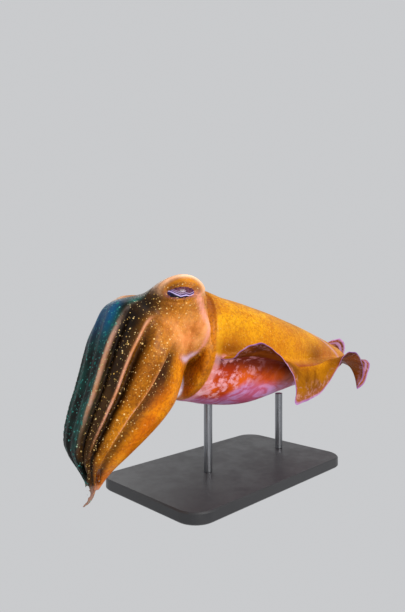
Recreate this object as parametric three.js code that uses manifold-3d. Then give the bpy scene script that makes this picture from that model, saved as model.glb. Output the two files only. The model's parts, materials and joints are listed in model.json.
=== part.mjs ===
// Life-size model of a hovering cuttlefish on a display stand.
// Millimetres, +Z up. The head looks towards -X, the tail towards +X, the animal's left is -Y.
// The origin is the middle of the base's underside.
import * as THREE from "three";
import { mergeVertices } from "three/addons/utils/BufferGeometryUtils.js";
import Module from "manifold-3d";

const wasm = await Module();
wasm.setup();

// Whole animal
const MANTLE_LENGTH = 272;
const COLLAR_X = -58;
const COLLAR_HEIGHT = 132;
const BODY_DROP = 0.115;
const GAP = 0.3;

// Mantle: share of the length, height above the axis, depth below it, half width
const MANTLE_STATIONS = [
  [0.0, 48, 47, 42],
  [0.08, 49, 50, 46],
  [0.22, 47, 54, 51],
  [0.38, 43, 52, 52],
  [0.56, 37, 43, 48],
  [0.72, 28, 33, 40],
  [0.86, 18, 21, 29],
  [0.95, 10.5, 11, 16],
  [0.985, 5.5, 5.5, 8],
  [1, 1.2, 1.2, 1.8],
];
const MANTLE_SQUARENESS = 2.25;
const MANTLE_SIDES = 40;
const MARGIN_TOP = 14;
const MARGIN_SIDE = -2;
const MARGIN_BELLY = -13;
const MARGIN_FADE = 0.2;
const LIP = 3.4;
const RECESS_DEPTH = 14;

// Head and arms: points down the forehead and down the throat side, and the half width between
const CROWN_STATIONS = [
  { back: [4, 42], throat: [-2, -30], half: 35 },
  { back: [-20, 45], throat: [-6, -31], half: 50 },
  { back: [-45, 46], throat: [-10, -30], half: 42 },
  { back: [-66, 46], throat: [-14, -29], half: 42 },
  { back: [-84, 36], throat: [-18, -29], half: 42 },
  { back: [-96, 17], throat: [-21, -33], half: 43 },
  { back: [-103, -6], throat: [-25, -39], half: 43 },
  { back: [-108, -28], throat: [-31, -47], half: 43 },
  { back: [-114, -48], throat: [-41, -56], half: 41 },
  { back: [-118, -65], throat: [-53, -66], half: 35 },
  { back: [-117, -79], throat: [-67, -78], half: 26 },
  { back: [-111, -91], throat: [-79, -89], half: 16 },
  { back: [-105, -101], throat: [-87, -98], half: 9 },
  { back: [-101, -109], throat: [-93, -107], half: 4 },
];
const ROLL = 13;
const HEAD_START = 0.8;
const HEAD_END = 4.2;
const HEAD_SIDES = 44;
const NECK_SHRINK = 0.88;
const NECK_TOP = 0.09;

// Eyes
const EYE_RADIUS = 13.5;
const EYE_STATION = 1.95;
const EYE_ANGLE = 49;
const EYE_FROM_AXIS = 47;
const EYE_FORWARD = 0.38;
const EYE_MOUND = 24.5;
const EYE_MOUND_SPREAD = 22;
const EYE_MOUND_LENGTH = 0.95;
const EYE_SLIT_LENGTH = 23;
const EYE_SLIT_HEIGHT = 13;
const LID_RADIUS = 1.6;
const LID_STEPS = 28;
const LID_SIDES = 7;

// Arms: each pair's share of the circle from the forehead to the throat, in degrees
const ARM_BORDERS = [0, 45, 77, 122, 180];
const ARM_SPLIT = 8;
const ARM_ENDS = [12.3, 13, 12.6, 12.8];
const ARM_CURL = [
  [3, 0, -9],
  [4, 3, -12],
  [0, 0, -3],
  [-2, 0, -2],
];
const ARM_INNER = 0.42;
const ARM_GROOVE = 0.13;
const ARM_RIDGE = 0.035;
const ARM_OUTER_POINTS = 8;
const ARM_INNER_POINTS = 3;
const SUCKER_ROWS = 15;
const SUCKER_SIDES = 6;
const SUCKER_RADIUS = 1.9;
const SUCKER_SEED = 7;
const WITH_SUCKERS = false;

// Funnel: place along the body, height, half width and half height
const FUNNEL_STATIONS = [
  [13.7, -35, 17, 5],
  [2, -35.5, 16, 5.2],
  [-9, -36.6, 12.5, 5.2],
  [-20, -43, 8, 5],
];
const FUNNEL_WALL = 1.6;
const FUNNEL_BORE = 9;

// Fins: place of the root along the body, then the edge's run forward, outward and upward from it
const LEFT_FIN = [
  [4, -6, 5, -8],
  [12, -9, 16, 5],
  [22, -14, 27, 14],
  [35, -16, 31, 15],
  [48, -15, 31, 9],
  [60, -12, 28, 0],
  [72, -10, 22, -14],
  [82, -8, 13, -29],
  [94, -8, 6, -41],
  [112, -7, 5, -41],
  [134, -3, 7, -34],
  [148, -2, 14, -19],
  [160, -3, 22, 3],
  [174, -3, 28, 14],
  [190, -2, 30, 10],
  [208, 2, 29, -4],
  [226, 10, 27, -20],
  [240, 13, 17, -33],
  [251, 23, 17, -27],
  [260, 32, 16, -12],
  [266, 29, 12, -4],
  [269, 15, 5, 0],
];
const RIGHT_FIN = [
  [4, -4, 7, -3],
  [14, -6, 22, 2],
  [28, -6, 31, 4],
  [46, -4, 34, -6],
  [66, -4, 28, -24],
  [86, -3, 16, -36],
  [106, -2, 20, -32],
  [126, 0, 31, -14],
  [146, 0, 35, 6],
  [166, 0, 34, 14],
  [186, 2, 34, 4],
  [204, 6, 33, -12],
  [220, 12, 30, -20],
  [236, 18, 27, -8],
  [248, 27, 20, 9],
  [258, 32, 13, 17],
  [265, 28, 9, 14],
  [269, 15, 4, 5],
];
const FIN_ROOT_DROP = { left: 8, right: 26 };
const FIN_ROOT_IN = { left: 0, right: 5 };
const FIN_ROOT_THICK = 3.4;
const FIN_EDGE_THICK = 0.9;
const FIN_STEPS = 34;
const FIN_WIDTH_STEPS = 6;
const FIN_SUNK = 5;
const FIN_SPLIT = 0.5;

// Stand
const BASE_LENGTH = 220;
const BASE_WIDTH = 130;
const BASE_THICK = 10;
const BASE_CORNER = 18;
const BASE_BEVEL = 1.2;
const ROD_RADIUS = 4;
const ROD_PLACES = [28, 140];
const ROD_SIDES = 24;

// Colours, as red, green and blue from 0 to 1
const COLOURS = {
  skin: new THREE.Color(0.72, 0.42, 0.05),
  arm: new THREE.Color(0.66, 0.36, 0.04),
  fin: new THREE.Color(0.62, 0.34, 0.16),
  funnel: new THREE.Color(0.8, 0.72, 0.78),
  eye: new THREE.Color(0.12, 0.08, 0.25),
  base: new THREE.Color(0.08, 0.08, 0.09),
  rod: new THREE.Color(0.62, 0.63, 0.65),
};

// Smooth value through evenly numbered stations
function along(values, t) {
  const last = values.length - 1;
  const i = Math.min(Math.max(Math.floor(t), 0), last - 1);
  const f = Math.min(Math.max(t - i, 0), 1);
  const p0 = values[Math.max(i - 1, 0)];
  const p1 = values[i];
  const p2 = values[i + 1];
  const p3 = values[Math.min(i + 2, last)];
  const m1 = (p2 - p0) / 2;
  const m2 = (p3 - p1) / 2;
  const f2 = f * f;
  const f3 = f2 * f;
  return (2 * f3 - 3 * f2 + 1) * p1 + (f3 - 2 * f2 + f) * m1 + (3 * f2 - 2 * f3) * p2 + (f3 - f2) * m2;
}

// Smooth row through stations whose first number is their place
function rowAt(rows, place) {
  let i = 0;
  while (i < rows.length - 2 && rows[i + 1][0] < place) i += 1;
  const t = i + (place - rows[i][0]) / (rows[i + 1][0] - rows[i][0]);
  return rows[0].map((_, k) => along(rows.map((row) => row[k]), t));
}

// Closed surface through rings of equally many points, its ends closed by a fan
function loft(rings, closedAround = false) {
  const count = rings[0].length;
  const positions = [];
  const faces = [];
  for (const ring of rings) {
    for (const point of ring) positions.push(point.x, point.y, point.z);
  }
  const at = (i, j) => (i % rings.length) * count + (j % count);
  const far = (a, b) => rings[Math.floor(a / count)][a % count].distanceTo(rings[Math.floor(b / count)][b % count]);
  const rounds = closedAround ? rings.length : rings.length - 1;
  for (let i = 0; i < rounds; i += 1) {
    for (let j = 0; j < count; j += 1) {
      const a = at(i, j);
      const b = at(i, j + 1);
      const c = at(i + 1, j + 1);
      const d = at(i + 1, j);
      if (far(a, c) < far(b, d)) faces.push(a, b, c, a, c, d);
      else faces.push(a, b, d, b, c, d);
    }
  }
  if (!closedAround) {
    for (const end of [0, rings.length - 1]) {
      const middle = new THREE.Vector3();
      for (const point of rings[end]) middle.addScaledVector(point, 1 / count);
      const hub = positions.length / 3;
      positions.push(middle.x, middle.y, middle.z);
      for (let j = 0; j < count; j += 1) {
        const a = at(end, j);
        const b = at(end, j + 1);
        if (end === 0) faces.push(a, hub, b);
        else faces.push(a, b, hub);
      }
    }
  }
  return outward(meshFrom(positions, faces));
}

function meshFrom(positions, faces) {
  const geometry = new THREE.BufferGeometry();
  geometry.setAttribute("position", new THREE.Float32BufferAttribute(positions, 3));
  geometry.setIndex(Array.from(faces));
  return geometry;
}

// Faces turned to point out of the solid
function outward(geometry) {
  const p = geometry.attributes.position;
  const index = geometry.index.array;
  const [a, b, c] = [new THREE.Vector3(), new THREE.Vector3(), new THREE.Vector3()];
  let volume = 0;
  for (let i = 0; i < index.length; i += 3) {
    a.fromBufferAttribute(p, index[i]);
    b.fromBufferAttribute(p, index[i + 1]);
    c.fromBufferAttribute(p, index[i + 2]);
    volume += a.dot(b.cross(c));
  }
  if (volume < 0) {
    for (let i = 0; i < index.length; i += 3) {
      [index[i + 1], index[i + 2]] = [index[i + 2], index[i + 1]];
    }
  }
  return geometry;
}

// Passing to and from solids that can be joined and cut
function solid(geometry) {
  const bare = geometry.clone();
  bare.deleteAttribute("normal");
  bare.deleteAttribute("uv");
  const merged = mergeVertices(bare, 1e-4);
  return new wasm.Manifold(new wasm.Mesh({
    numProp: 3,
    vertProperties: Float32Array.from(merged.attributes.position.array),
    triVerts: Uint32Array.from(merged.index.array),
  }));
}

// The largest closed surface of a solid, as a geometry
function shell(manifold) {
  const pieces = manifold.decompose();
  pieces.sort((a, b) => b.volume() - a.volume());
  const mesh = pieces[0].getMesh();
  return meshFrom(mesh.vertProperties, mesh.triVerts);
}

// A ring of the mantle, grown outward by a margin where others are cut to meet it
function mantleRing(share, grow = 0, shrink = 0) {
  const [, top, bottom, half] = rowAt(MANTLE_STATIONS, share);
  const x = share * MANTLE_LENGTH;
  const ring = [];
  for (let k = 0; k < MANTLE_SIDES; k += 1) {
    const angle = (2 * Math.PI * k) / MANTLE_SIDES;
    const up = Math.cos(angle);
    const out = Math.sin(angle);
    const power = 2 / MANTLE_SQUARENESS;
    const tall = (up > 0 ? top : bottom) + grow - shrink;
    const z = Math.sign(up) * Math.abs(up) ** power * tall;
    const y = -Math.sign(out) * Math.abs(out) ** power * (half + grow - shrink);
    const edge = up > 0 ? MARGIN_TOP : MARGIN_BELLY;
    const margin = MARGIN_SIDE + (edge - MARGIN_SIDE) * up * up;
    const fade = Math.max(0, 1 - share / MARGIN_FADE) ** 2;
    ring.push(new THREE.Vector3(x + margin * fade, y, z - BODY_DROP * x));
  }
  return ring;
}

function mantleRings(grow) {
  const shares = [0, 0.02, 0.05, 0.09, 0.14, 0.2, 0.27, 0.34, 0.41, 0.48, 0.55, 0.62, 0.69, 0.76, 0.82, 0.88, 0.93, 0.965, 0.985, 0.995, 1];
  return shares.map((share) => mantleRing(share, grow));
}

const mantleKeepOut = solid(loft(mantleRings(GAP)));

function mantle() {
  const rings = mantleRings(0).reverse();
  const rim = mantleRing(0, 0, LIP * 0.45);
  rim.forEach((point) => { point.x -= LIP * 0.4; });
  const inner = mantleRing(0, 0, LIP);
  const floor = mantleRing(0, 0, LIP + 0.6);
  floor.forEach((point) => { point.x = RECESS_DEPTH; });
  return loft([...rings, rim, inner, floor]);
}

// The plane of a crown station: its middle, the way to the forehead and its reach
function crownPlane(t) {
  const pick = (key, k) => along(CROWN_STATIONS.map((row) => row[key][k]), t);
  const back = new THREE.Vector3(pick("back", 0), 0, pick("back", 1));
  const throat = new THREE.Vector3(pick("throat", 0), 0, pick("throat", 1));
  const up = back.clone().sub(throat);
  const reach = up.length() / 2;
  up.normalize();
  return {
    middle: back.add(throat).multiplyScalar(0.5),
    up,
    reach,
    half: along(CROWN_STATIONS.map((row) => row.half), t),
    onward: new THREE.Vector3(-up.z, 0, up.x),
  };
}

// A point of a crown station, by its share of the radius and its angle from the forehead,
// positive to the left; the head is rolled, its left side up
function crownPoint(plane, degrees, share, sideways = 0) {
  const angle = THREE.MathUtils.degToRad(degrees - ROLL);
  const up = Math.cos(angle) * plane.reach * share;
  const out = Math.sin(angle) * plane.half * share;
  const point = plane.middle.clone().addScaledVector(plane.up, up);
  point.y -= out;
  const turn = new THREE.Vector3(0, -Math.cos(angle) * plane.half, 0);
  turn.addScaledVector(plane.up, -Math.sin(angle) * plane.reach).normalize();
  return point.addScaledVector(turn, sideways);
}

// Head, with a mound for each eye
function headRing(t) {
  const plane = crownPlane(t);
  const backEdge = Math.min(1, NECK_SHRINK + (1 - NECK_SHRINK) * Math.sqrt(Math.max(0, (t - HEAD_START) / 0.3)));
  const ring = [];
  for (let k = 0; k < HEAD_SIDES; k += 1) {
    const degrees = (360 * k) / HEAD_SIDES;
    const fromTop = degrees > 180 ? 360 - degrees : degrees;
    const across = (fromTop - EYE_ANGLE) / EYE_MOUND_SPREAD;
    const onward = (t - EYE_STATION) / EYE_MOUND_LENGTH;
    const mound = EYE_MOUND * Math.exp(-across * across - onward * onward);
    const grooves = Math.max(0, (t - 3.2) / (HEAD_END - 3.2));
    const share = backEdge * armProfile(fromTop, grooves * 0.35) + mound / plane.reach;
    ring.push(crownPoint(plane, degrees, share));
  }
  return ring;
}

function almond(length, height) {
  const shape = new THREE.Shape();
  shape.moveTo(-length / 2, 0);
  shape.quadraticCurveTo(0, height, length / 2, 0);
  shape.quadraticCurveTo(0, -height, -length / 2, 0);
  return shape;
}

// Place and turn of an eye: local z looks out of the head, local x lies along it
function eyeFrame(side) {
  const plane = crownPlane(EYE_STATION);
  const degrees = -side * EYE_ANGLE;
  const radius = crownPoint(plane, degrees, 1).distanceTo(plane.middle);
  const place = crownPoint(plane, degrees, EYE_FROM_AXIS / radius);
  const roll = THREE.MathUtils.degToRad(ROLL);
  const look = new THREE.Vector3(-EYE_FORWARD, side * Math.cos(roll), -side * Math.sin(roll)).normalize();
  const above = new THREE.Vector3(0, Math.sin(roll), Math.cos(roll));
  const lengthways = above.clone().cross(look).normalize();
  const up = look.clone().cross(lengthways);
  return new THREE.Matrix4().makeBasis(lengthways, up, look).setPosition(place);
}

function eyeball(side, radius) {
  const ball = new THREE.SphereGeometry(radius, 22, 14);
  ball.rotateX(Math.PI / 2);
  return ball.applyMatrix4(eyeFrame(side));
}

// Lids: a round rim that lies on the eyeball all round the slit
function lids() {
  const onBall = (angle) => {
    const x = (EYE_SLIT_LENGTH / 2) * Math.cos(angle);
    const y = (EYE_SLIT_HEIGHT / 2 - 1.2) * Math.sin(angle);
    const z = Math.sqrt(EYE_RADIUS ** 2 - x * x - y * y);
    return new THREE.Vector3(x, y, z).multiplyScalar(1 + LID_RADIUS / 2 / EYE_RADIUS);
  };
  const rings = [];
  for (let k = 0; k < LID_STEPS; k += 1) {
    const angle = (2 * Math.PI * k) / LID_STEPS;
    const centre = onBall(angle);
    const forward = onBall(angle + 0.01).sub(centre).normalize();
    const out = centre.clone().normalize();
    const across = forward.clone().cross(out);
    const ring = [];
    for (let j = 0; j < LID_SIDES; j += 1) {
      const turn = (2 * Math.PI * j) / LID_SIDES;
      const point = centre.clone().addScaledVector(out, LID_RADIUS * Math.cos(turn));
      ring.push(point.addScaledVector(across, LID_RADIUS * Math.sin(turn)));
    }
    rings.push(ring);
  }
  return loft(rings, true);
}

function head() {
  const rings = [];
  for (const t of [HEAD_START, 0.83, 0.9, 1, 1.15, 1.35, 1.6, 1.8, 2, 2.2, 2.4, 2.6, 2.8, 3, 3.25, 3.5, 3.75, 4, HEAD_END]) {
    rings.push(headRing(t));
  }
  let body = solid(loft(rings));
  for (const side of [-1, 1]) {
    const frame = eyeFrame(side);
    body = body.add(solid(lids().applyMatrix4(frame)));
    body = body.subtract(solid(eyeball(side, EYE_RADIUS + GAP)));
    const slit = new THREE.ExtrudeGeometry(almond(EYE_SLIT_LENGTH, EYE_SLIT_HEIGHT), {
      depth: 30,
      bevelEnabled: false,
      curveSegments: 9,
    });
    body = body.subtract(solid(slit.applyMatrix4(frame)));
  }
  return shell(body);
}

// Neck between the mantle's recess and the back of the head
function neck() {
  const rings = [];
  for (const t of [0.15, 0.4, 0.6, HEAD_START]) {
    const plane = crownPlane(t);
    const ring = [];
    for (let k = 0; k < MANTLE_SIDES; k += 1) {
      const degrees = (360 * k) / MANTLE_SIDES;
      const top = Math.max(0, Math.cos(THREE.MathUtils.degToRad(degrees - ROLL)));
      const share = NECK_SHRINK - 0.01 + NECK_TOP * top * top;
      ring.push(crownPoint(plane, degrees, share).addScaledVector(plane.onward, -GAP));
    }
    rings.push(ring);
  }
  const end = rings[0].map((point) => {
    const z = 4 + (point.z - 6) * 0.97;
    return new THREE.Vector3(RECESS_DEPTH - GAP, point.y * 0.97, z);
  });
  return loft([end, ...rings]);
}

function funnel() {
  const rings = [];
  const sides = 24;
  for (const share of [0, 0.2, 0.4, 0.6, 0.8, 1]) {
    const [x, z, half, tall] = FUNNEL_STATIONS[0].map((_, k) => {
      return along(FUNNEL_STATIONS.map((row) => row[k]), share * (FUNNEL_STATIONS.length - 1));
    });
    const ring = [];
    for (let k = 0; k < sides; k += 1) {
      const angle = (2 * Math.PI * k) / sides;
      const lean = share * 0.45 * Math.cos(angle) * tall;
      ring.push(new THREE.Vector3(x + lean, half * Math.sin(angle), z + tall * Math.cos(angle)));
    }
    rings.push(ring);
  }
  const tip = rings[rings.length - 1];
  const middle = new THREE.Vector3();
  for (const point of tip) middle.addScaledVector(point, 1 / sides);
  const shrunk = (share, back) => tip.map((point) => {
    const inner = middle.clone().lerp(point, share);
    inner.x += back;
    inner.z += back * 0.45;
    return inner;
  });
  const wall = 1 - FUNNEL_WALL / 6;
  return loft([...rings, shrunk(wall, 0), shrunk(wall * 0.8, FUNNEL_BORE)]);
}

// Share of the radius round the crown: each arm's face rises from its groove to a ridge
function armProfile(fromTop, depth) {
  let k = 0;
  while (k < 3 && fromTop > ARM_BORDERS[k + 1]) k += 1;
  const f = (fromTop - ARM_BORDERS[k]) / (ARM_BORDERS[k + 1] - ARM_BORDERS[k]);
  const rise = Math.min(1, f / 0.8) ** 0.7;
  const fall = Math.max(0, (f - 0.88) / 0.12);
  const firstCrest = k === 0 ? Math.max(0, 1 - f / 0.22) : 0;
  const height = Math.max(rise * (1 - fall * fall), firstCrest);
  return 1 + depth * (-ARM_GROOVE * (1 - height) + ARM_RIDGE * height * height);
}

// One ring of an arm, kept within its own share of the crown
function armRing(index, side, t, shift) {
  const plane = crownPlane(Math.min(t, CROWN_STATIONS.length - 1));
  const from = ARM_BORDERS[index];
  const to = ARM_BORDERS[index + 1];
  const depth = Math.min(1, 0.35 + (t - HEAD_END) / 2.4);
  const last = ARM_ENDS[index];
  const ring = [];
  const put = (f, share) => {
    const degrees = -side * (from + (to - from) * f);
    const edge = f === 0 ? GAP * 0.65 : f === 1 ? -GAP * 0.65 : 0;
    ring.push(crownPoint(plane, degrees, share, -side * edge));
  };
  for (let k = 0; k < ARM_OUTER_POINTS; k += 1) {
    const f = k / (ARM_OUTER_POINTS - 1);
    const eased = f < 1 && f > 0 ? f ** 0.85 : f;
    put(eased, armProfile(from + (to - from) * eased, depth));
  }
  for (let k = 0; k < ARM_INNER_POINTS; k += 1) {
    put(1 - k / (ARM_INNER_POINTS - 1), ARM_INNER);
  }
  const centre = new THREE.Vector3();
  for (const point of ring) centre.addScaledVector(point, 1 / ring.length);
  const left = Math.max(0, (last - t) / (last - 9.5));
  const keep = t < 9.5 ? 1 : 0.12 + 0.88 * Math.min(1, left) ** 0.75;
  const curl = t < 10.5 ? 0 : ((t - 10.5) / (last - 10.5)) ** 2;
  for (const point of ring) {
    point.sub(centre).multiplyScalar(keep).add(centre);
    point.addScaledVector(plane.onward, shift);
    point.x += ARM_CURL[index][0] * curl;
    point.y -= ARM_CURL[index][1] * curl;
    point.z += ARM_CURL[index][2] * curl;
  }
  return ring;
}

// A sucker cup, standing on the origin along z
function sucker(radius) {
  const cup = [[0.7, -1.6], [0.75, 0.3], [1, 0.9], [0.85, 1.25]];
  const rings = cup.map(([r, h]) => {
    const ring = [];
    for (let k = 0; k < SUCKER_SIDES; k += 1) {
      const angle = (2 * Math.PI * k) / SUCKER_SIDES;
      ring.push(new THREE.Vector3(Math.cos(angle) * r * radius, Math.sin(angle) * r * radius, h * radius));
    }
    return ring;
  });
  return loft(rings);
}

// Even draw from 0 to 1, the same on every run
function dice(seed) {
  let state = seed;
  return () => {
    state = (state * 1664525 + 1013904223) % 4294967296;
    return state / 4294967296;
  };
}

function arm(index, side, fromT, toT) {
  const steps = fromT < ARM_SPLIT ? 9 : 11;
  const rings = [];
  for (let k = 0; k <= steps; k += 1) {
    const t = fromT + ((toT - fromT) * k) / steps;
    const shift = k === 0 ? GAP : 0;
    rings.push(armRing(index, side, t, shift));
  }
  const body = loft(rings);
  if (!WITH_SUCKERS) return body;
  let whole = solid(body);
  const draw = dice(SUCKER_SEED + index);
  const first = HEAD_END + 0.5;
  const last = ARM_ENDS[index] - 0.25;
  for (let row = 0; row < SUCKER_ROWS; row += 1) {
    const t = first + (last - first) * ((row + 0.5) / SUCKER_ROWS) ** 0.9;
    if (t < fromT + 0.2 || t > toT - 0.15) continue;
    const ring = armRing(index, side, t, 0);
    const a = ring[ARM_OUTER_POINTS];
    const b = ring[ring.length - 1];
    const width = a.distanceTo(b);
    const radius = Math.min(SUCKER_RADIUS, width * 0.2) * (0.92 + 0.16 * draw());
    const plane = crownPlane(Math.min(t, CROWN_STATIONS.length - 1));
    const centre = new THREE.Vector3();
    for (const point of ring) centre.addScaledVector(point, 1 / ring.length);
    for (const f of [0.27, 0.73]) {
      const foot = a.clone().lerp(b, f);
      const out = foot.clone().sub(centre);
      out.addScaledVector(plane.onward, -out.dot(plane.onward)).normalize();
      const cup = sucker(radius);
      cup.applyQuaternion(new THREE.Quaternion().setFromUnitVectors(new THREE.Vector3(0, 0, 1), out));
      cup.translate(foot.x, foot.y, foot.z);
      whole = whole.add(solid(cup));
    }
  }
  return shell(whole);
}

// A fin: a thin curved sheet, alike on both faces, its root cut to meet the mantle
function fin(stations, side, fromShare, toShare) {
  const word = side < 0 ? "left" : "right";
  const first = stations[0][0];
  const last = stations[stations.length - 1][0];
  const middleAt = (share, u) => {
    const [x, forward, out, up] = rowAt(stations, first + (last - first) * share);
    const half = rowAt(MANTLE_STATIONS, x / MANTLE_LENGTH)[3];
    const drop = FIN_ROOT_DROP[word] * (1 - 0.8 * share);
    const inward = FIN_SUNK + FIN_ROOT_IN[word] * (1 - share);
    const root = new THREE.Vector3(x, inward - half, -BODY_DROP * x - drop);
    const flare = Math.sin(Math.PI * u) * 3;
    const reach = new THREE.Vector3(forward * u * u, -(FIN_SUNK * Math.min(1, 3 * u) + out * u + flare), up * u ** 1.35);
    return root.add(reach);
  };
  const rows = [];
  const steps = Math.round(FIN_STEPS * (toShare - fromShare));
  for (let i = 0; i <= steps; i += 1) {
    const share = fromShare + ((toShare - fromShare) * i) / steps;
    const row = [];
    for (let j = 0; j <= FIN_WIDTH_STEPS; j += 1) {
      const u = j / FIN_WIDTH_STEPS;
      const here = middleAt(share, u);
      const alongFin = middleAt(Math.min(1, share + 0.01), u).sub(middleAt(Math.max(0, share - 0.01), u));
      const acrossFin = middleAt(share, Math.min(1, u + 0.02)).sub(middleAt(share, Math.max(0, u - 0.02)));
      const normal = alongFin.cross(acrossFin).normalize();
      const half = (FIN_ROOT_THICK + (FIN_EDGE_THICK - FIN_ROOT_THICK) * u ** 0.7) / 2;
      row.push([here.clone().addScaledVector(normal, half), here.clone().addScaledVector(normal, -half)]);
    }
    rows.push(row);
  }
  const positions = [];
  const faces = [];
  const width = FIN_WIDTH_STEPS + 1;
  for (const row of rows) {
    for (const pair of row) {
      for (const point of pair) positions.push(point.x, side < 0 ? point.y : -point.y, point.z);
    }
  }
  const at = (i, j, face) => (i * width + j) * 2 + face;
  for (let i = 0; i < rows.length - 1; i += 1) {
    for (let j = 0; j < width - 1; j += 1) {
      faces.push(at(i, j, 0), at(i + 1, j, 0), at(i + 1, j + 1, 0), at(i, j, 0), at(i + 1, j + 1, 0), at(i, j + 1, 0));
      faces.push(at(i, j, 1), at(i + 1, j + 1, 1), at(i + 1, j, 1), at(i, j, 1), at(i, j + 1, 1), at(i + 1, j + 1, 1));
    }
    for (const j of [0, width - 1]) {
      const quad = [at(i, j, 0), at(i, j, 1), at(i + 1, j, 1), at(i + 1, j, 0)];
      if (j > 0) quad.reverse();
      faces.push(quad[0], quad[1], quad[2], quad[0], quad[2], quad[3]);
    }
  }
  for (const i of [0, rows.length - 1]) {
    for (let j = 0; j < width - 1; j += 1) {
      const quad = [at(i, j, 0), at(i, j + 1, 0), at(i, j + 1, 1), at(i, j, 1)];
      if (i > 0) quad.reverse();
      faces.push(quad[0], quad[1], quad[2], quad[0], quad[2], quad[3]);
    }
  }
  return shell(solid(outward(meshFrom(positions, faces))).subtract(mantleKeepOut));
}

// Stand: a rounded plate and two rods cut to meet the belly
function base() {
  const [w, d, r] = [BASE_LENGTH / 2 - BASE_BEVEL, BASE_WIDTH / 2 - BASE_BEVEL, BASE_CORNER];
  const outline = new THREE.Shape();
  outline.moveTo(-w + r, -d);
  outline.lineTo(w - r, -d);
  outline.absarc(w - r, -d + r, r, -Math.PI / 2, 0, false);
  outline.absarc(w - r, d - r, r, 0, Math.PI / 2, false);
  outline.absarc(-w + r, d - r, r, Math.PI / 2, Math.PI, false);
  outline.absarc(-w + r, -d + r, r, Math.PI, 1.5 * Math.PI, false);
  const plate = new THREE.ExtrudeGeometry(outline, {
    depth: BASE_THICK - 2 * BASE_BEVEL,
    bevelEnabled: true,
    bevelThickness: BASE_BEVEL,
    bevelSize: BASE_BEVEL,
    bevelSegments: 1,
    curveSegments: 6,
  });
  return plate.translate(0, 0, BASE_BEVEL);
}

function rod(place) {
  const bottom = BASE_THICK + GAP - COLLAR_HEIGHT;
  const tall = -bottom - BODY_DROP * place;
  const bar = new THREE.CylinderGeometry(ROD_RADIUS, ROD_RADIUS, tall, ROD_SIDES);
  bar.rotateX(Math.PI / 2);
  bar.translate(place, 0, bottom + tall / 2);
  const pieces = solid(bar).subtract(mantleKeepOut).decompose();
  pieces.sort((a, b) => a.boundingBox().min[2] - b.boundingBox().min[2]);
  const mesh = pieces[0].getMesh();
  return meshFrom(mesh.vertProperties, mesh.triVerts);
}

function piece(name, geometry, colour, roughness = 0.55, metalness = 0) {
  const material = new THREE.MeshStandardMaterial({ color: colour, roughness, metalness });
  const mesh = new THREE.Mesh(geometry, material);
  mesh.name = name;
  return mesh;
}

const animal = new THREE.Group();
animal.position.set(COLLAR_X, 0, COLLAR_HEIGHT);
animal.add(piece("mantle", mantle(), COLOURS.skin));
animal.add(piece("neck", neck(), COLOURS.skin));
animal.add(piece("head", head(), COLOURS.skin));
animal.add(piece("funnel", funnel(), COLOURS.funnel));
for (const [word, side, stations] of [["left", -1, LEFT_FIN], ["right", 1, RIGHT_FIN]]) {
  animal.add(piece(`eye_${word}`, eyeball(side, EYE_RADIUS), COLOURS.eye, 0.2));
  const cut = 0.0012;
  animal.add(piece(`fin_${word}_front`, fin(stations, side, 0, FIN_SPLIT - cut), COLOURS.fin));
  animal.add(piece(`fin_${word}_rear`, fin(stations, side, FIN_SPLIT + cut, 1), COLOURS.fin));
  for (let index = 0; index < 4; index += 1) {
    const name = `arm_${word}_${index + 1}`;
    animal.add(piece(`${name}_base`, arm(index, side, HEAD_END, ARM_SPLIT), COLOURS.arm));
    animal.add(piece(`${name}_tip`, arm(index, side, ARM_SPLIT, ARM_ENDS[index]), COLOURS.arm));
  }
}
ROD_PLACES.forEach((place, k) => {
  const name = k === 0 ? "stand_rod_front" : "stand_rod_rear";
  animal.add(piece(name, rod(place), COLOURS.rod, 0.3, 1));
});

const model = new THREE.Group();
model.add(animal);
model.add(piece("stand_base", base(), COLOURS.base, 0.4));

export default model;
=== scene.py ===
"""The hovering cuttlefish on its display stand: skin, fins, eyes, suckers and stand finishes."""
import json
import math

import bpy
import numpy as np
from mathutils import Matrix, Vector

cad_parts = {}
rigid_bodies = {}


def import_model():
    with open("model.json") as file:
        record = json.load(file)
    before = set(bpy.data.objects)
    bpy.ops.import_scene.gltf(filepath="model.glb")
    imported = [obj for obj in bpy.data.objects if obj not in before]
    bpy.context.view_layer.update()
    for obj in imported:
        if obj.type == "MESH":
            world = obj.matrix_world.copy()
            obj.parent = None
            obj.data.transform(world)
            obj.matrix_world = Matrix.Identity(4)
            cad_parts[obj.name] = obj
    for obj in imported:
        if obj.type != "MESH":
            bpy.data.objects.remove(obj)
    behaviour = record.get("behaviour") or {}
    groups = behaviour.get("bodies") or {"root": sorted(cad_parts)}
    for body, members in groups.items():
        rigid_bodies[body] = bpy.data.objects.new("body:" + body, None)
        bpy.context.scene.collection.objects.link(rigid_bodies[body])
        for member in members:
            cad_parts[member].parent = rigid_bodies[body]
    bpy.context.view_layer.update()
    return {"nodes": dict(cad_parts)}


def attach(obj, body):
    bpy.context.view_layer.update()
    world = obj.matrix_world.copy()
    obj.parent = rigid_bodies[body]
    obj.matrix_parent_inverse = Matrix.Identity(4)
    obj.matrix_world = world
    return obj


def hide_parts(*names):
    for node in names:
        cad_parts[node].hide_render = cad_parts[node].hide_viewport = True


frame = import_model()

# Millimetre tables below are measured from the middle of the collar; a point becomes metres in place()
MM = 0.001
COLLAR = np.array([-58.0, 0.0, 132.0])
MANTLE_LENGTH = 272.0
BODY_DROP = 0.115
ROLL = 13.0

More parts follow.
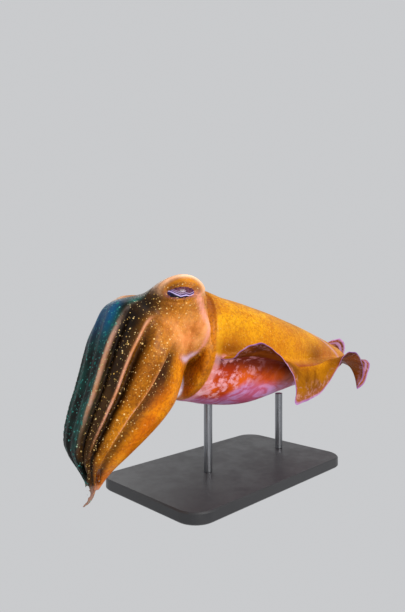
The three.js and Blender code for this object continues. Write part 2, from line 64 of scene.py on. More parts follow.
# Mantle: share of the length, height above the axis, depth below it, half width
MANTLE_STATIONS = [
    [0.0, 49.5, 49, 42],
    [0.08, 48, 53.5, 46],
    [0.22, 45, 54.5, 51],
    [0.38, 38.5, 44, 52],
    [0.56, 30, 34.5, 47.5],
    [0.72, 21.5, 27, 38],
    [0.86, 14, 18, 26],
    [0.95, 9, 10, 15],
    [0.985, 5, 5.5, 8],
    [1.0, 1.2, 1.2, 1.8],
]
MANTLE_SQUARENESS = 2.25
MARGIN_TOP, MARGIN_SIDE, MARGIN_BELLY, MARGIN_FADE = 14.0, -2.0, -13.0, 0.2
LIP = 3.4
RECESS_DEPTH = 14.0

# Head and arms: points down the forehead and down the throat, and the half width between them
FOREHEAD = [[4, 42], [-20, 48.5], [-47, 45], [-65, 42], [-80.5, 37.5], [-91, 17], [-98, -6], [-104, -27],
            [-111, -46], [-117, -65], [-117, -79], [-111, -91], [-105, -101], [-101, -109]]
THROAT = [[-2, -26], [-4, -13], [-16, -19], [-20.5, -26], [-21.5, -30.5], [-23, -34], [-26, -40], [-31, -47],
          [-41, -56], [-53, -66], [-67, -78], [-79, -89], [-87, -98], [-93, -107]]
CROWN_HALF = [36, 41, 37.5, 39.5, 40.5, 43, 43, 43, 41, 35, 26, 16, 9, 4]
HEAD_START = 0.8
HEAD_BACK_SHARE = 0.9
NECK_SHARE = 0.88

# Eyes
EYE_HALF = np.array([17.0, 12.0, 15.0])
EYE_STATION = 1.7
EYE_ANGLE = 53.0
EYE_FROM_AXIS = 42.6
EYE_FORWARD = 0.38
EYE_MOUND, EYE_MOUND_SPREAD, EYE_MOUND_LENGTH = 26.0, 22.0, 0.95
SLIT_LENGTH, SLIT_HEIGHT = 28.0, 11.0
BROW_LENGTH, BROW_HEIGHT = 17.5, 10.5

# Arms: crown station, then the angle from the forehead where the first three pairs end, each on a ridge
ARM_BORDERS = [[4, 39, 67, 102], [6, 30, 57, 91], [8, 27, 51, 76], [10, 31, 49, 73], [13, 33, 51, 78]]
RIDGE_GROOVES = np.array([0.55, 1.0, 1.0, 0.6, 0.8])
RIDGE_CRESTS = np.array([0.8, 1.0, 0.9, 0.3])
ARM_ENDS = [12.3, 13.0, 12.6, 12.7]
ARM_CURLS = [[1, 0, -5], [-5, 2, -10], [0, 0, -3], [-1, 0, -1]]
ARM_TAPER_START = [9.5, 9.5, 10.0, 10.5]
ARM_TAPER = [0.75, 0.75, 0.6, 0.5]
ARM_TIP_SHARE = 0.2
ARM_CURL_START = 10.5
ARM_INNER = 0.42
SUCKER_ROWS = 24
GROOVE_DEPTH = 0.185
RIDGE_HEIGHT = 0.06

# Funnel: place along the body, height, half width and half height
FUNNEL_STATIONS = [[2, -33, 15, 9], [-8, -33, 14.5, 9], [-16, -35.5, 13, 8], [-24, -41, 9.5, 6]]

# Fins: place of the root, then the edge's run forward, outward and upward from it
FINS = {
    "left": [[5, -4, -4, -2], [9, -11, 12, 0], [14, -16, 21, 7], [21, -19, 27, 13.5], [31, -20, 31, 15.5],
             [43, -20, 30, 12], [55, -13, 25, 3], [67, -5, 17, -6], [78, -3, 13, -16.5], [86, -5, 11, -29],
             [94, -13, 10, -40], [105, -10, 10, -39.5], [121, -1, 10, -35.5], [136, 2.5, 13, -24],
             [148, -1, 20, -8], [158, -7, 26, 5], [170, -9.5, 31, 11.5], [183, -4, 32, 9.5], [197, 2.5, 30, 1],
             [211, 9.5, 26, -9.5], [224, 14, 20, -22], [235, 8, 14, -35], [245, 20, 16, -31],
             [252, 29, 17, -18.5], [258, 37, 15, -8], [263, 34, 11, -3], [267, 16.5, 7, -1], [269, 6, 3, 1]],
    "right": [[4, -4, 7, -3], [14, -6, 22, 2], [28, -6, 31, 4], [46, -4, 34, -6], [66, -4, 28, -24],
              [86, -3, 16, -36], [106, -2, 20, -32], [126, 0, 31, -14], [146, 0, 35, 6], [166, 0, 34, 12],
              [186, 2, 32, 3], [204, 5, 28, -12], [220, 9, 24, -20], [236, 13, 17, -6], [248, 15, 8, 13],
              [257, 18, 1, 24], [262, 27, -2, 27], [265, 34, -2, 20], [267.5, 30, 0, 7], [269, 12, 2, 2]],
}
FIN_DROP = {"left": 8.0, "right": 26.0}
FIN_INWARD = {"left": 0.0, "right": 5.0}
FIN_SUNK = 7.0
FIN_FLARE = 3.0
FIN_HANG_FLARE = 0.07
SIDES = {"left": -1, "right": 1}

# Camera: the photo's viewing angle, and the eye point worked out from its strong perspective
CAMERA_FROM_COLLAR = 450.0
CAMERA_TO_RIGHT = 14.5
CAMERA_HEIGHT = 35.0
CAMERA_AZIMUTH = -45.0
FOCAL_PIXELS = 495.0
PHOTO_HEIGHT = 612.0
SENSOR = 36.0


# Curves and places

def along(values, t):
    """Smooth value through evenly numbered stations."""
    values = np.asarray(values, float)
    last = len(values) - 1
    t = np.clip(np.asarray(t, float), 0, last)
    i = np.minimum(t.astype(int), last - 1)
    f = t - i
    before, start = values[np.maximum(i - 1, 0)], values[i]
    end, after = values[i + 1], values[np.minimum(i + 2, last)]
    if values.ndim > 1:
        f = f[..., None]
    leave, arrive = (end - before) / 2, (after - start) / 2
    f2, f3 = f * f, f * f * f
    return ((2 * f3 - 3 * f2 + 1) * start + (f3 - 2 * f2 + f) * leave
            + (3 * f2 - 2 * f3) * end + (f3 - f2) * arrive)


def row_at(rows, where):
    """Smooth row through stations whose first number is their place."""
    rows = np.asarray(rows, float)
    return along(rows, np.interp(where, rows[:, 0], np.arange(len(rows))))


def step(low, high, x):
    """Smooth step from 0 at low to 1 at high."""
    f = np.clip((x - low) / (high - low), 0, 1)
    return f * f * (3 - 2 * f)


def bell(x, middle, width):
    return np.exp(-(((x - middle) / width) ** 2))


def place(points):
    """Millimetres from the collar to metres in the shared frame."""
    return (points + COLLAR) * MM


def crown(t):
    """The plane of a crown station: middle, the way to the forehead, reach and half width."""
    back, throat = along(FOREHEAD, t), along(THROAT, t)
    up = back - throat
    reach = np.linalg.norm(up, axis=-1) / 2
    return (back + throat) / 2, up / (2 * reach[..., None]), reach, along(CROWN_HALF, t)


def crown_point(t, degrees, share):
    middle, up, reach, half = crown(t)
    turn = np.radians(degrees - ROLL)
    rise = np.cos(turn) * reach * share
    return np.stack([middle[..., 0] + up[..., 0] * rise, -np.sin(turn) * half * share,
                     middle[..., 1] + up[..., 1] * rise], -1)


def arm_borders(t):
    """Angles from the forehead where the pairs of arms begin and end at a crown station."""
    rows = row_at(ARM_BORDERS, np.clip(t, ARM_BORDERS[0][0], ARM_BORDERS[-1][0]))
    return np.stack([np.zeros_like(rows[..., 0]), rows[..., 1], rows[..., 2], rows[..., 3],
                     np.full_like(rows[..., 0], 180.0)], -1)


def arm_place(degrees, t):
    """Which pair of arms a direction falls on, and its share of the way across that pair's face."""
    from_top = np.abs((degrees + 180) % 360 - 180)
    borders = arm_borders(np.broadcast_to(t, from_top.shape))
    pair = np.sum(from_top[..., None] > borders[..., 1:4], -1)
    start = np.take_along_axis(borders, pair[..., None], -1)[..., 0]
    stop = np.take_along_axis(borders, pair[..., None] + 1, -1)[..., 0]
    return pair, (from_top - start) / (stop - start)


def ridge_profile(degrees, t, depth):
    """Share of the radius round the arms: each face climbs out of its groove to the next ridge."""
    pair, f = arm_place(degrees, t)
    climb = 0.75 * step(0.04, 0.42, f) + 0.25 * step(0.3, 0.9, f)
    sunk = RIDGE_GROOVES[pair] * (1 - climb) * GROOVE_DEPTH
    fall = RIDGE_GROOVES[pair + 1] * step(0.95, 1.0, f) * GROOVE_DEPTH
    crest = RIDGE_HEIGHT * bell(f, 0.9, 0.12) * RIDGE_CRESTS[pair]
    return 1 + depth * (crest - np.maximum(sunk, fall))


def mantle_radius(share):
    _, top, bottom, half = np.moveaxis(row_at(MANTLE_STATIONS, share), -1, 0)
    return top, bottom, half


def mantle_point(share, degrees, inset=0.0):
    top, bottom, half = mantle_radius(share)
    turn = np.radians(degrees)
    up, out = np.cos(turn), np.sin(turn)
    power = 2 / MANTLE_SQUARENESS
    tall = np.where(up > 0, top, bottom) - inset
    x = share * MANTLE_LENGTH
    margin = MARGIN_SIDE + (np.where(up > 0, MARGIN_TOP, MARGIN_BELLY) - MARGIN_SIDE) * up * up
    fade = np.maximum(0, 1 - share / MARGIN_FADE) ** 2
    z = np.sign(up) * np.abs(up) ** power * tall - BODY_DROP * x
    y = -np.sign(out) * np.abs(out) ** power * (half - inset)
    return np.stack([x + margin * fade, y, z], -1)


def eye_frame(side):
    """Middle of an eye and its three ways: along the slit, up and out of the head."""
    t = np.array([EYE_STATION])
    degrees = -side * EYE_ANGLE
    middle = crown(t)[0][0]
    radius = np.linalg.norm(crown_point(t, degrees, 1)[0] - [middle[0], 0, middle[1]])
    centre = crown_point(t, degrees, EYE_FROM_AXIS / radius)[0]
    roll = math.radians(ROLL)
    look = np.array([-EYE_FORWARD, side * math.cos(roll), -side * math.sin(roll)])
    look /= np.linalg.norm(look)
    lengthways = np.cross([0, math.sin(roll), math.cos(roll)], look)
    lengthways /= np.linalg.norm(lengthways)
    return centre, np.array([lengthways, np.cross(look, lengthways), look])


# Making and finishing pieces

def deselect():
    for thing in bpy.context.selected_objects:
        thing.select_set(False)


def pick(piece):
    deselect()
    piece.select_set(True)
    bpy.context.view_layer.objects.active = piece


def coordinates(piece):
    spots = np.empty(len(piece.data.vertices) * 3, np.float32)
    piece.data.vertices.foreach_get("co", spots)
    return spots.reshape(-1, 3).astype(float)


def move_vertices(piece, spots):
    piece.data.vertices.foreach_set("co", np.ascontiguousarray(spots, np.float32).ravel())
    piece.data.update()


def normals(piece):
    ways = np.empty(len(piece.data.vertices) * 3, np.float32)
    piece.data.vertices.foreach_get("normal", ways)
    return ways.reshape(-1, 3).astype(float)


def face_outwards(piece):
    pick(piece)
    bpy.ops.object.mode_set(mode="EDIT")
    bpy.ops.mesh.select_all(action="SELECT")
    bpy.ops.mesh.normals_make_consistent(inside=False)
    bpy.ops.object.mode_set(mode="OBJECT")


def finish_modifier(piece, kind, **values):
    pick(piece)
    modifier = piece.modifiers.new(kind, kind)
    for key, value in values.items():
        setattr(modifier, key, value)
    bpy.ops.object.modifier_apply(modifier=modifier.name)


def smooth(piece):
    pick(piece)
    bpy.ops.object.shade_smooth()


def join(pieces, name):
    pick(pieces[0])
    for piece in pieces:
        piece.select_set(True)
    bpy.ops.object.join()
    whole = bpy.context.object
    whole.name = name
    whole.data.name = name
    return whole


def shaped_ball(name, around, down, form):
    """A ball primitive whose every vertex is moved to form(angle round it, share of the way down)."""
    deselect()
    bpy.ops.mesh.primitive_uv_sphere_add(segments=around, ring_count=down, radius=1)
    ball = bpy.context.object
    ball.name = name
    spots = coordinates(ball)
    turn = np.degrees(np.arctan2(spots[:, 1], spots[:, 0]))
    fall = np.arccos(np.clip(spots[:, 2], -1, 1)) / np.pi
    move_vertices(ball, place(form(turn, fall)))
    return ball


def keep_mask(piece, name, values):
    layer = piece.data.attributes.new(name, "FLOAT", "POINT")
    layer.data.foreach_set("value", np.clip(values, 0, 1).astype(np.float32))


# Flesh forms that the skin is drawn over

def round_end(fall, length):
    near = np.minimum(fall, 1 - fall) / length
    return np.sqrt(1 - (1 - np.clip(near, 0, 1)) ** 2)


def mantle_form(turn, fall):
    floor, wall, rim = 0.08, 0.16, 0.22
    share = np.clip((fall - rim) / (1 - rim), 0, 1)
    bend = np.pi * np.clip((rim - fall) / (rim - wall), 0, 1)
    inset = LIP / 2 * (1 - np.cos(bend))
    points = mantle_point(share, turn, inset)
    points[:, 0] -= LIP / 2 * np.sin(bend)
    back = np.clip((wall - fall) / (wall - floor), 0, 1)
    points[:, 0] += (RECESS_DEPTH - points[:, 0]) * back
    shrink = np.clip(fall / floor, 0, 1)
    points[:, 1:] *= shrink[:, None]
    wave = np.sin(np.radians(turn) * 5 + share * 9) * np.sin(share * 26 + 1.7) * 0.35
    points[:, 1:] *= (1 + wave / 48 * (fall > rim))[:, None]
    return points


def head_share(t, degrees):
    """Radius of the head as a share of the crown's own, with eye mounds and cheeks."""
    from_top = np.abs((degrees + 180) % 360 - 180)
    opened = np.sqrt(np.clip((t - HEAD_START) / 0.3, 0, 1))
    back = HEAD_BACK_SHARE + (1 - HEAD_BACK_SHARE) * opened
    share = back * ridge_profile(degrees, t, step(2.9, 6.0, t))
    mound = EYE_MOUND * bell(from_top, EYE_ANGLE, EYE_MOUND_SPREAD) * bell(t, EYE_STATION, EYE_MOUND_LENGTH)
    cheek = 1.4 * bell(from_top, 104, 24) * bell(t, 1.25, 0.5)
    temple = -1.8 * bell(from_top, 76, 12) * bell(t, 3.0, 0.7)
    return share + (mound + cheek + temple) / crown(t)[2]


def head_form(turn, fall):
    t = HEAD_START + 4.6 * fall
    share = head_share(t, turn) * round_end(fall, 0.016)
    share *= 1 - 0.4 * step(4.1, 5.2, t)
    return crown_point(t, turn, share)


def neck_form(turn, fall):
    """A collar out of the mantle's opening, full under the cheeks and drawn in behind the head."""
    under = np.maximum(0, -np.cos(np.radians(turn)))
    side = np.abs(np.sin(np.radians(turn)))
    ahead = 1.5 + 4.5 * under + 9.5 * bell(np.abs(turn), 132, 34) * side
    front = mantle_point(np.zeros(len(turn)), turn, LIP * 0.6)
    front[:, 0] -= ahead
    plug = mantle_point(np.zeros(len(turn)), turn, LIP * 0.5)
    plug[:, 0] = RECESS_DEPTH + 2
    behind = crown_point(np.full(len(turn), HEAD_START), turn + ROLL, np.full(len(turn), NECK_SHARE))
    inside = crown_point(np.full(len(turn), 1.3), turn + ROLL, np.full(len(turn), 0.5))
    stops = [0.0, 0.16, 0.3, 0.66, 1.0]
    inside_share = np.interp(fall, stops, [1, 1, 0, 0, 0])
    behind_share = np.interp(fall, stops, [0, 0, 1, 0, 0])
    front_share = np.interp(fall, stops, [0, 0, 0, 1, 0])
    plug_share = np.interp(fall, stops, [0, 0, 0, 0, 1])
    points = (inside * inside_share[:, None] + behind * behind_share[:, None]
              + front * front_share[:, None] + plug * plug_share[:, None])
    bulge = 4.5 * np.sin(np.pi * np.clip((fall - 0.3) / 0.36, 0, 1)) * (0.15 + 0.85 * under)
    points[:, 0] -= bulge
    points[:, 2] -= 0.7 * bulge
    middle = np.array([-8.0, 0.0, 8.0])
    shrink = np.where(fall < 0.16, fall / 0.16, round_end(fall, 0.06))
    return middle * (1 - shrink[:, None]) + points * shrink[:, None]


def arm_keep(index, t):
    """How much of an arm's thickness is left near its tip, and how far its curl has gone."""
    end = ARM_ENDS[index]
    left = np.clip((end - t) / (end - ARM_TAPER_START[index]), 0, 1)
    keep = ARM_TIP_SHARE + (1 - ARM_TIP_SHARE) * left ** ARM_TAPER[index]
    return keep, np.clip((t - ARM_CURL_START) / (end - ARM_CURL_START), 0, 1) ** 2


def arm_form(index, side):
    end = ARM_ENDS[index]

    def form(turn, fall):
        t = 3.5 + (end - 3.5) * fall ** 0.94
        borders = arm_borders(t)
        first, last = borders[:, index], borders[:, index + 1]
        q = (turn % 360) / 360
        f = np.interp(q, [0, 0.52, 0.62, 0.9, 1], [0, 1, 1, 0, 0])
        inner_share = np.interp(q, [0.52, 0.62, 0.76, 0.9, 1], [1, ARM_INNER, ARM_INNER - 0.03, ARM_INNER, 1])
        degrees = first + (last - first) * np.clip(f, 0.001, 0.999)
        depth = step(2.9, 6.0, t)
        share = ridge_profile(degrees, t, depth)
        edge = np.abs(f - 0.5) * 2
        share = np.where(q <= 0.52, share, inner_share * share)
        margin = 0.35 + 0.9 * step(9.0, 12.0, t)
        radius = np.maximum(crown(t)[2] * share, 1.5)
        lean = np.degrees(margin / radius) * np.where(f > 0.5, -1, 1) * step(0.6, 1, edge)
        points = crown_point(t, -side * (degrees + lean), share)
        axis = crown_point(t, -side * (first + last) / 2, np.full_like(t, (1 + ARM_INNER) / 2))
        keep, curl = arm_keep(index, t)
        points = axis + (points - axis) * (keep * round_end(fall, 0.012))[:, None]
        return points + curl[:, None] * (np.array(ARM_CURLS[index]) * [1, -1, 1])

    return form


def funnel_form(turn, fall):
    bore = 0.24
    share = np.clip((1 - fall) / (1 - bore), 0, 1)
    inside = np.clip((bore - fall) / bore, 0, 1)
    x, z, half, tall = np.moveaxis(along(FUNNEL_STATIONS, share * 3), -1, 0)
    angle = np.radians(turn)
    keep = np.where(inside > 0, 0.74 * (1 - np.maximum(0, inside - 0.6) / 0.4), 1)
    keep *= np.where(fall > 0.5, round_end(fall, 0.03), 1)
    lean = share * 0.45 * np.cos(angle) * tall * keep
    return np.stack([x + lean + inside * 12, half * np.sin(angle) * keep,
                     z + tall * np.cos(angle) * keep + inside * 5], -1)


def curl_form(turn, fall):
    """The thin end of the longest arm, that curls forward below the bundle."""
    path = np.array([[-96, 0.5, -96], [-97.5, 0.2, -104], [-98.5, 0.4, -110], [-101, 1.4, -115],
                     [-106, 3.2, -118.5]])
    centre = along(path, fall * (len(path) - 1))
    radius = np.interp(fall, [0, 0.3, 0.7, 1], [2.7, 1.9, 1.3, 0.9]) * round_end(fall, 0.06)
    way = along(path, np.minimum(1, fall + 0.02) * 4) - along(path, np.maximum(0, fall - 0.02) * 4)
    way /= np.linalg.norm(way, axis=1)[:, None]
    across = np.cross(way, [0, 1, 0])
    across /= np.linalg.norm(across, axis=1)[:, None]
    angle = np.radians(turn)[:, None]
    return centre + radius[:, None] * (np.cos(angle) * across + np.sin(angle) * np.cross(way, across))


def fin_sheet(word, share, u):
    """The middle surface of a fin: share along the root, u from root to edge."""
    stations = np.array(FINS[word], float)
    start, stop = stations[0][0], stations[-1][0]
    x, forward, out, up = np.moveaxis(along(stations, share * (len(stations) - 1)), -1, 0)
    root_share = (x - start) / (stop - start)
    half = mantle_radius(x / MANTLE_LENGTH)[2]
    root_y = FIN_SUNK + FIN_INWARD[word] * (1 - root_share) - half
    root_z = -BODY_DROP * x - FIN_DROP[word] * (1 - 0.8 * root_share)
    flare = np.sin(np.pi * u) * (FIN_FLARE - FIN_HANG_FLARE * np.minimum(0, up))
    frill = u ** 3 * (0.35 * np.sin(share * 90 + 0.6) + 0.25 * np.sin(share * 171 + 2.1))
    y = root_y - (FIN_SUNK * np.minimum(1, 3 * u) + out * u + flare)
    points = np.stack([x + forward * u * u, y, root_z + up * u ** 1.35 + frill], -1)
    if SIDES[word] > 0:
        points[..., 1] *= -1
    return points


def fin_form(word, thick_root, thick_edge, width=1.0):
    def form(turn, fall):
        share = np.clip(fall, 0.0005, 0.9995)
        u = (1 + np.cos(np.radians(turn))) / 2 * width * round_end(fall, 0.012)
        here = fin_sheet(word, share, u)
        lengthways = fin_sheet(word, np.minimum(1, share + 0.004), u) - fin_sheet(word, np.maximum(0, share - 0.004), u)
        across = fin_sheet(word, share, np.minimum(1, u + 0.02)) - fin_sheet(word, share, np.maximum(0, u - 0.02))
        way = np.cross(lengthways, across)
        way /= np.linalg.norm(way, axis=1)[:, None] + 1e-9
        thick = thick_root + (thick_edge - thick_root) * np.minimum(1, u / width) ** 0.6
        side = np.sin(np.radians(turn))
        return here + way * (thick / 2 * np.sign(side) * np.abs(side) ** 0.6)[:, None]
    return form


def lid_ring(side):
    """Both lids as one soft rim round the slit, the upper lid heavier."""
    deselect()
    bpy.ops.mesh.primitive_torus_add(major_segments=96, minor_segments=14, major_radius=1, minor_radius=0.25)
    ring = bpy.context.object
    spots = coordinates(ring)
    angle = np.arctan2(spots[:, 1], spots[:, 0])
    turn = np.arctan2(spots[:, 2], np.hypot(spots[:, 0], spots[:, 1]) - 1)

    def on_ball(a):
        x = (SLIT_LENGTH / 2) * np.cos(a)
        y = (SLIT_HEIGHT / 2) * np.sin(a)
        left = 1 - (x / EYE_HALF[0]) ** 2 - (y / EYE_HALF[1]) ** 2
        return np.stack([x, y, EYE_HALF[2] * np.sqrt(np.maximum(0.02, left))], -1)

    thick = 1.3 + 0.9 * np.sqrt(np.maximum(0, np.sin(angle)))
    centre = on_ball(angle)
    out = centre / np.linalg.norm(centre, axis=1)[:, None]
    forward = on_ball(angle + 0.01) - centre
    forward /= np.linalg.norm(forward, axis=1)[:, None]
    across = np.cross(forward, out)
    centre = centre + out * (thick * 0.55)[:, None] + across * (thick * 0.75)[:, None]
    local = centre + out * (np.sin(turn) * thick)[:, None] + across * (np.cos(turn) * thick)[:, None]
    middle, ways = eye_frame(side)
    move_vertices(ring, place(middle + local @ ways))
    return ring


# The skin: one closed surface over every flesh form

VOXEL = 1.25 * MM
SKIN_KEPT = 0.74


def make_skin():
    forms = [shaped_ball("mantle_form", 128, 150, mantle_form), shaped_ball("head_form", 160, 150, head_form),
             shaped_ball("neck_form", 96, 60, neck_form), shaped_ball("funnel_form", 48, 40, funnel_form),
             shaped_ball("curl_form", 24, 40, curl_form)]
    for word, side in SIDES.items():
        for index in range(4):
            forms.append(shaped_ball(f"arm_form_{word}_{index + 1}", 84, 130, arm_form(index, side)))
        forms.append(shaped_ball(f"fin_root_{word}", 24, 160, fin_form(word, 8.5, 1.5, 0.34)))
        forms.append(lid_ring(side))
    for form in forms:
        face_outwards(form)
    skin = join(forms, "skin")
    finish_modifier(skin, "REMESH", mode="VOXEL", voxel_size=VOXEL, adaptivity=0)
    finish_modifier(skin, "SMOOTH", factor=0.5, iterations=2)
    finish_modifier(skin, "DECIMATE", ratio=SKIN_KEPT)
    return skin


def crown_coordinates(points):
    """Station, angle and share of the radius of each point, by the station plane that it lies in."""
    stations = np.arange(0, 13.01, 0.1)
    middle, up, reach, half = crown(stations)
    onward = np.stack([-up[:, 1], up[:, 0]], -1)
    best = np.full(len(points), np.inf)
    found = np.zeros(len(points))
    for k, t in enumerate(stations):
        from_middle = points[:, [0, 2]] - middle[k]
        off = np.abs(from_middle @ onward[k])
        rise = from_middle @ up[k]
        stray = np.maximum(0, np.hypot(rise / reach[k], points[:, 1] / half[k]) - 1.35) * 30
        better = off + stray < best
        best[better] = (off + stray)[better]
        found[better] = t
    middle, up, reach, half = crown(found)
    onward = np.stack([-up[:, 1], up[:, 0]], -1)
    from_middle = points[:, [0, 2]] - middle
    rise = np.sum(from_middle * up, 1) / reach
    out = -points[:, 1] / half
    degrees = (np.degrees(np.arctan2(out, rise)) + ROLL + 180) % 360 - 180
    return found, degrees, np.hypot(rise, out)


def eye_ring(local):
    """Distance from the middle of the slit in slit sizes, and whether a point is on the eye's side."""
    ring = np.hypot(local[:, 0] / (SLIT_LENGTH / 2), local[:, 1] / (SLIT_HEIGHT / 2))
    return ring, (local[:, 2] > 0) & (np.linalg.norm(local, axis=1) < 34)


def brow_ring(local):
    """Distance from the fold that arches over the eye, 1 on the fold itself."""
    return np.hypot(local[:, 0] / BROW_LENGTH, (local[:, 1] - 1.0) / BROW_HEIGHT)


def settle_eyes(skin):
    """The skin is drawn back over each eyeball and folds round the slit."""
    spots = coordinates(skin) / MM - COLLAR
    for side in SIDES.values():
        middle, ways = eye_frame(side)
        local = (spots - middle) @ ways.T
        ball = np.linalg.norm(local / EYE_HALF, axis=1)
        radius = np.linalg.norm(local, axis=1)
        ring, front = eye_ring(local)
        inside = front & (ring < 1) & (ball > 0.75)
        scale = np.ones(len(spots))
        scale[inside] = 0.9 / ball[inside]
        near = ~inside & (ball < 1.03)
        scale[near] = 1.03 / np.maximum(ball[near], 0.1)
        brow = brow_ring(local)
        above = step(-5, 2, local[:, 1])
        folds = above * (1.5 * bell(brow, 1.06, 0.14) - 1.0 * bell(brow, 0.8, 0.08)
                         - 0.5 * bell(brow, 1.36, 0.09))
        folds += (1 - above) * (-0.6 * bell(ring, 1.5, 0.12) + 0.4 * bell(ring, 1.8, 0.14))
        folded = front & ~inside & ~near
        scale[folded] += (folds / np.maximum(radius, 1))[folded]
        spots = middle + (local * scale[:, None]) @ ways
    move_vertices(skin, place(spots))


def paint_masks(skin):
    """Where each colour of the skin lies, from the body's own coordinates."""
    points = coordinates(skin) / MM - COLLAR
    x, y, z = points.T
    t, degrees, radial = crown_coordinates(points)
    from_top = np.abs(degrees)
    share = x / MANTLE_LENGTH
    top, bottom, half = mantle_radius(np.clip(share, 0, 1))
    rise = z + BODY_DROP * x
    out = np.maximum(np.abs(y), 1e-6) / half
    mantle_ratio = (np.abs(rise / np.where(rise > 0, top, bottom)) ** MANTLE_SQUARENESS
                    + out ** MANTLE_SQUARENESS) ** (1 / MANTLE_SQUARENESS)
    body_angle = np.degrees(np.arctan2(-y, rise))
    around = np.abs(body_angle)
    margin = mantle_point(np.zeros(len(points)), body_angle)[:, 0]
    mantle = (step(-2.6, -1.4, x - margin) * step(0.9, 0.95, mantle_ratio)
              + step(RECESS_DEPTH, RECESS_DEPTH + 2, x)).clip(0, 1)
    root = np.where(body_angle > 0, 96.0 + 4 * step(150, 240, x), 112.0)
    down = step(-0.05, -0.35, normals(skin)[:, 2]) * step(-16, -8, around - root)
    below = np.maximum(step(0, 7, around - root), down) * mantle
    rim_start = 152 - 30 * step(0.02, 0.14, share)
    rim = mantle * step(-4, 10, around - rim_start) * step(245, 200, x)
    # painted highlight: a pale rim where light catches the mantle's margin
    lip_highlight = mantle * step(5, 1.5, x - margin) * step(0.9, 0.95, mantle_ratio)
    crease_run = step(0.5, 0.58, share) * step(0.86, 0.78, share)
    crease = mantle * bell(around, 56 + 190 * (share - 0.58), 4) * crease_run
    back_run = step(0.35, 0.6, share) * step(1.0, 0.95, share)
    crease = np.maximum(crease, 0.45 * mantle * bell(body_angle, 8, 7) * back_run)
    # painted shade: dark brown in the hollow above the fin's front root and in the valley between the mantle and the
    # fin's raised rear wave
    front_valley_shade = 0.8 * bell(share, 0.045, 0.06) * bell(around, 91, 7)
    valley_shade = mantle * np.maximum(bell(share, 0.5, 0.07) * bell(around, 90, 15), front_valley_shade)

    off_mantle = 1 - mantle
    tube = row_at(FUNNEL_STATIONS[::-1], np.clip(x, -24, 2))
    in_tube = np.hypot(y / tube[:, 2], (z - tube[:, 1]) / tube[:, 3])
    funnel = off_mantle * step(1.3, 1.12, in_tube) * step(-32, -28, x) * step(-6, -11, x - 0.2 * z)
    flesh = off_mantle * (1 - funnel)
    skin_share = head_share(t, degrees)
    behind = step(0.9, 0.82, t)
    flap = step(0.05, 0.1, radial - skin_share) * step(2.6, 2.2, t) * step(0, -8, z)
    neck = flesh * np.maximum(behind, flap)
    head = flesh * (1 - neck)

    pair, f = arm_place(degrees, t)
    run = step(2.9, 5.2, t)
    # painted shade: the deep groove just past each arm's ridge is darkened near to black, fading out across the face
    groove_shade = np.array([0.55, 1.0, 1.0, 0.75])[pair]
    first_third = np.where(pair == 3, 0.07, 0.15)
    groove_shadow = head * run * groove_shade * bell(f, first_third, np.where(pair == 3, 0.09, 0.22))
    # each arm's keel is pale in itself and also carries a painted highlight along its crest, where it faces the light
    ridge_runs = np.stack([step(9.0, 7.0, t) * step(4.2, 5.4, t), step(9.6, 7.6, t),
                           step(5.0, 6.0, t) * step(9.5, 8.0, t)])
    ridge_run = ridge_runs[np.minimum(pair, 2), np.arange(len(t))]
    strength = np.array([0.75, 1.0, 0.8, 0.3])[pair] * (0.1 + 0.9 * ridge_run)
    ridge_width = np.array([0.05, 0.05, 0.04, 0.05])[pair]
    pale_keel_and_highlight = head * step(3.2, 4.6, t) * bell(f, np.where(pair == 3, 0.985, 0.94), ridge_width) * strength
    pale_keel_and_highlight *= step(0.9, 0.99, radial + 0.35 * step(9.0, 12.0, t))
    # painted shade: a dark patch in the hollow beside the top of the third arm's ridge
    shade_patch = 0.9 * head * bell(from_top, 103, 12) * bell(t, 5.6, 1.0)
    # painted shade: the dorsal arms and forehead, turned away from the light, are laid in dark blue-green as if lit
    # only by blue-green ambient light; the turquoise dots on them are the skin's own
    teal_shade = head * step(1.02, 0.84, from_top / arm_borders(t)[:, 1]) * step(2.0, 3.2, t)
    # painted highlight: a blue rim of light along the top contour of the dorsal arms
    blue = head * bell(t, 4.4, 0.7) * step(34, 18, from_top)
    # painted shade: the first two pairs of arms, turned away from the light, are darkened near to black
    upper_arms_shade = head * step(1.15, 0.8, from_top / arm_borders(t)[:, 2]) * step(2.3, 3.3, t) * step(10.0, 5.0, t)
    # painted shade: the top of the head, turned away from the light, is laid in near black
    crown_shade = head * step(70, 48, from_top) * step(1.6, 2.5, t)
    broad = head * step(0.0, 0.3, f) * (pair == 3) * step(3.0, 4.4, t)
    cheek = head * bell(from_top, 104, 26) * step(4.8, 2.8, t)
    edge_angle = 144 - 8.4 * (t - 1.85)
    edge_station = np.interp(from_top, [60, 80, 100, 118, 134, 144], [1.55, 1.3, 1.1, 1.25, 1.4, 1.85])
    cheek_rim = head * bell(t, edge_station, 0.13) * step(55, 70, from_top) * step(146, 138, from_top)
    crescent = head * bell(from_top, edge_angle - 3, 5) * step(1.3, 1.9, t) * step(4.2, 3.4, t)
    inner = head * step(0.66, 0.56, radial) * step(4.4, 5.0, t) * step(12.0, 11.2, t)
    tips = head * step(-99, -106, z)
    brow, brow_hollow_shade, lid_edge = np.zeros(len(points)), np.zeros(len(points)), np.zeros(len(points))
    for side in SIDES.values():
        middle, ways = eye_frame(side)
        local = (points - middle) @ ways.T
        ring, front = eye_ring(local)
        above = step(-6, 1, local[:, 1])
        arch = brow_ring(local)
        brow = np.maximum(brow, front * bell(arch, 1.1, 0.16) * (0.04 + 0.96 * above) * step(2.8, 2.1, t))
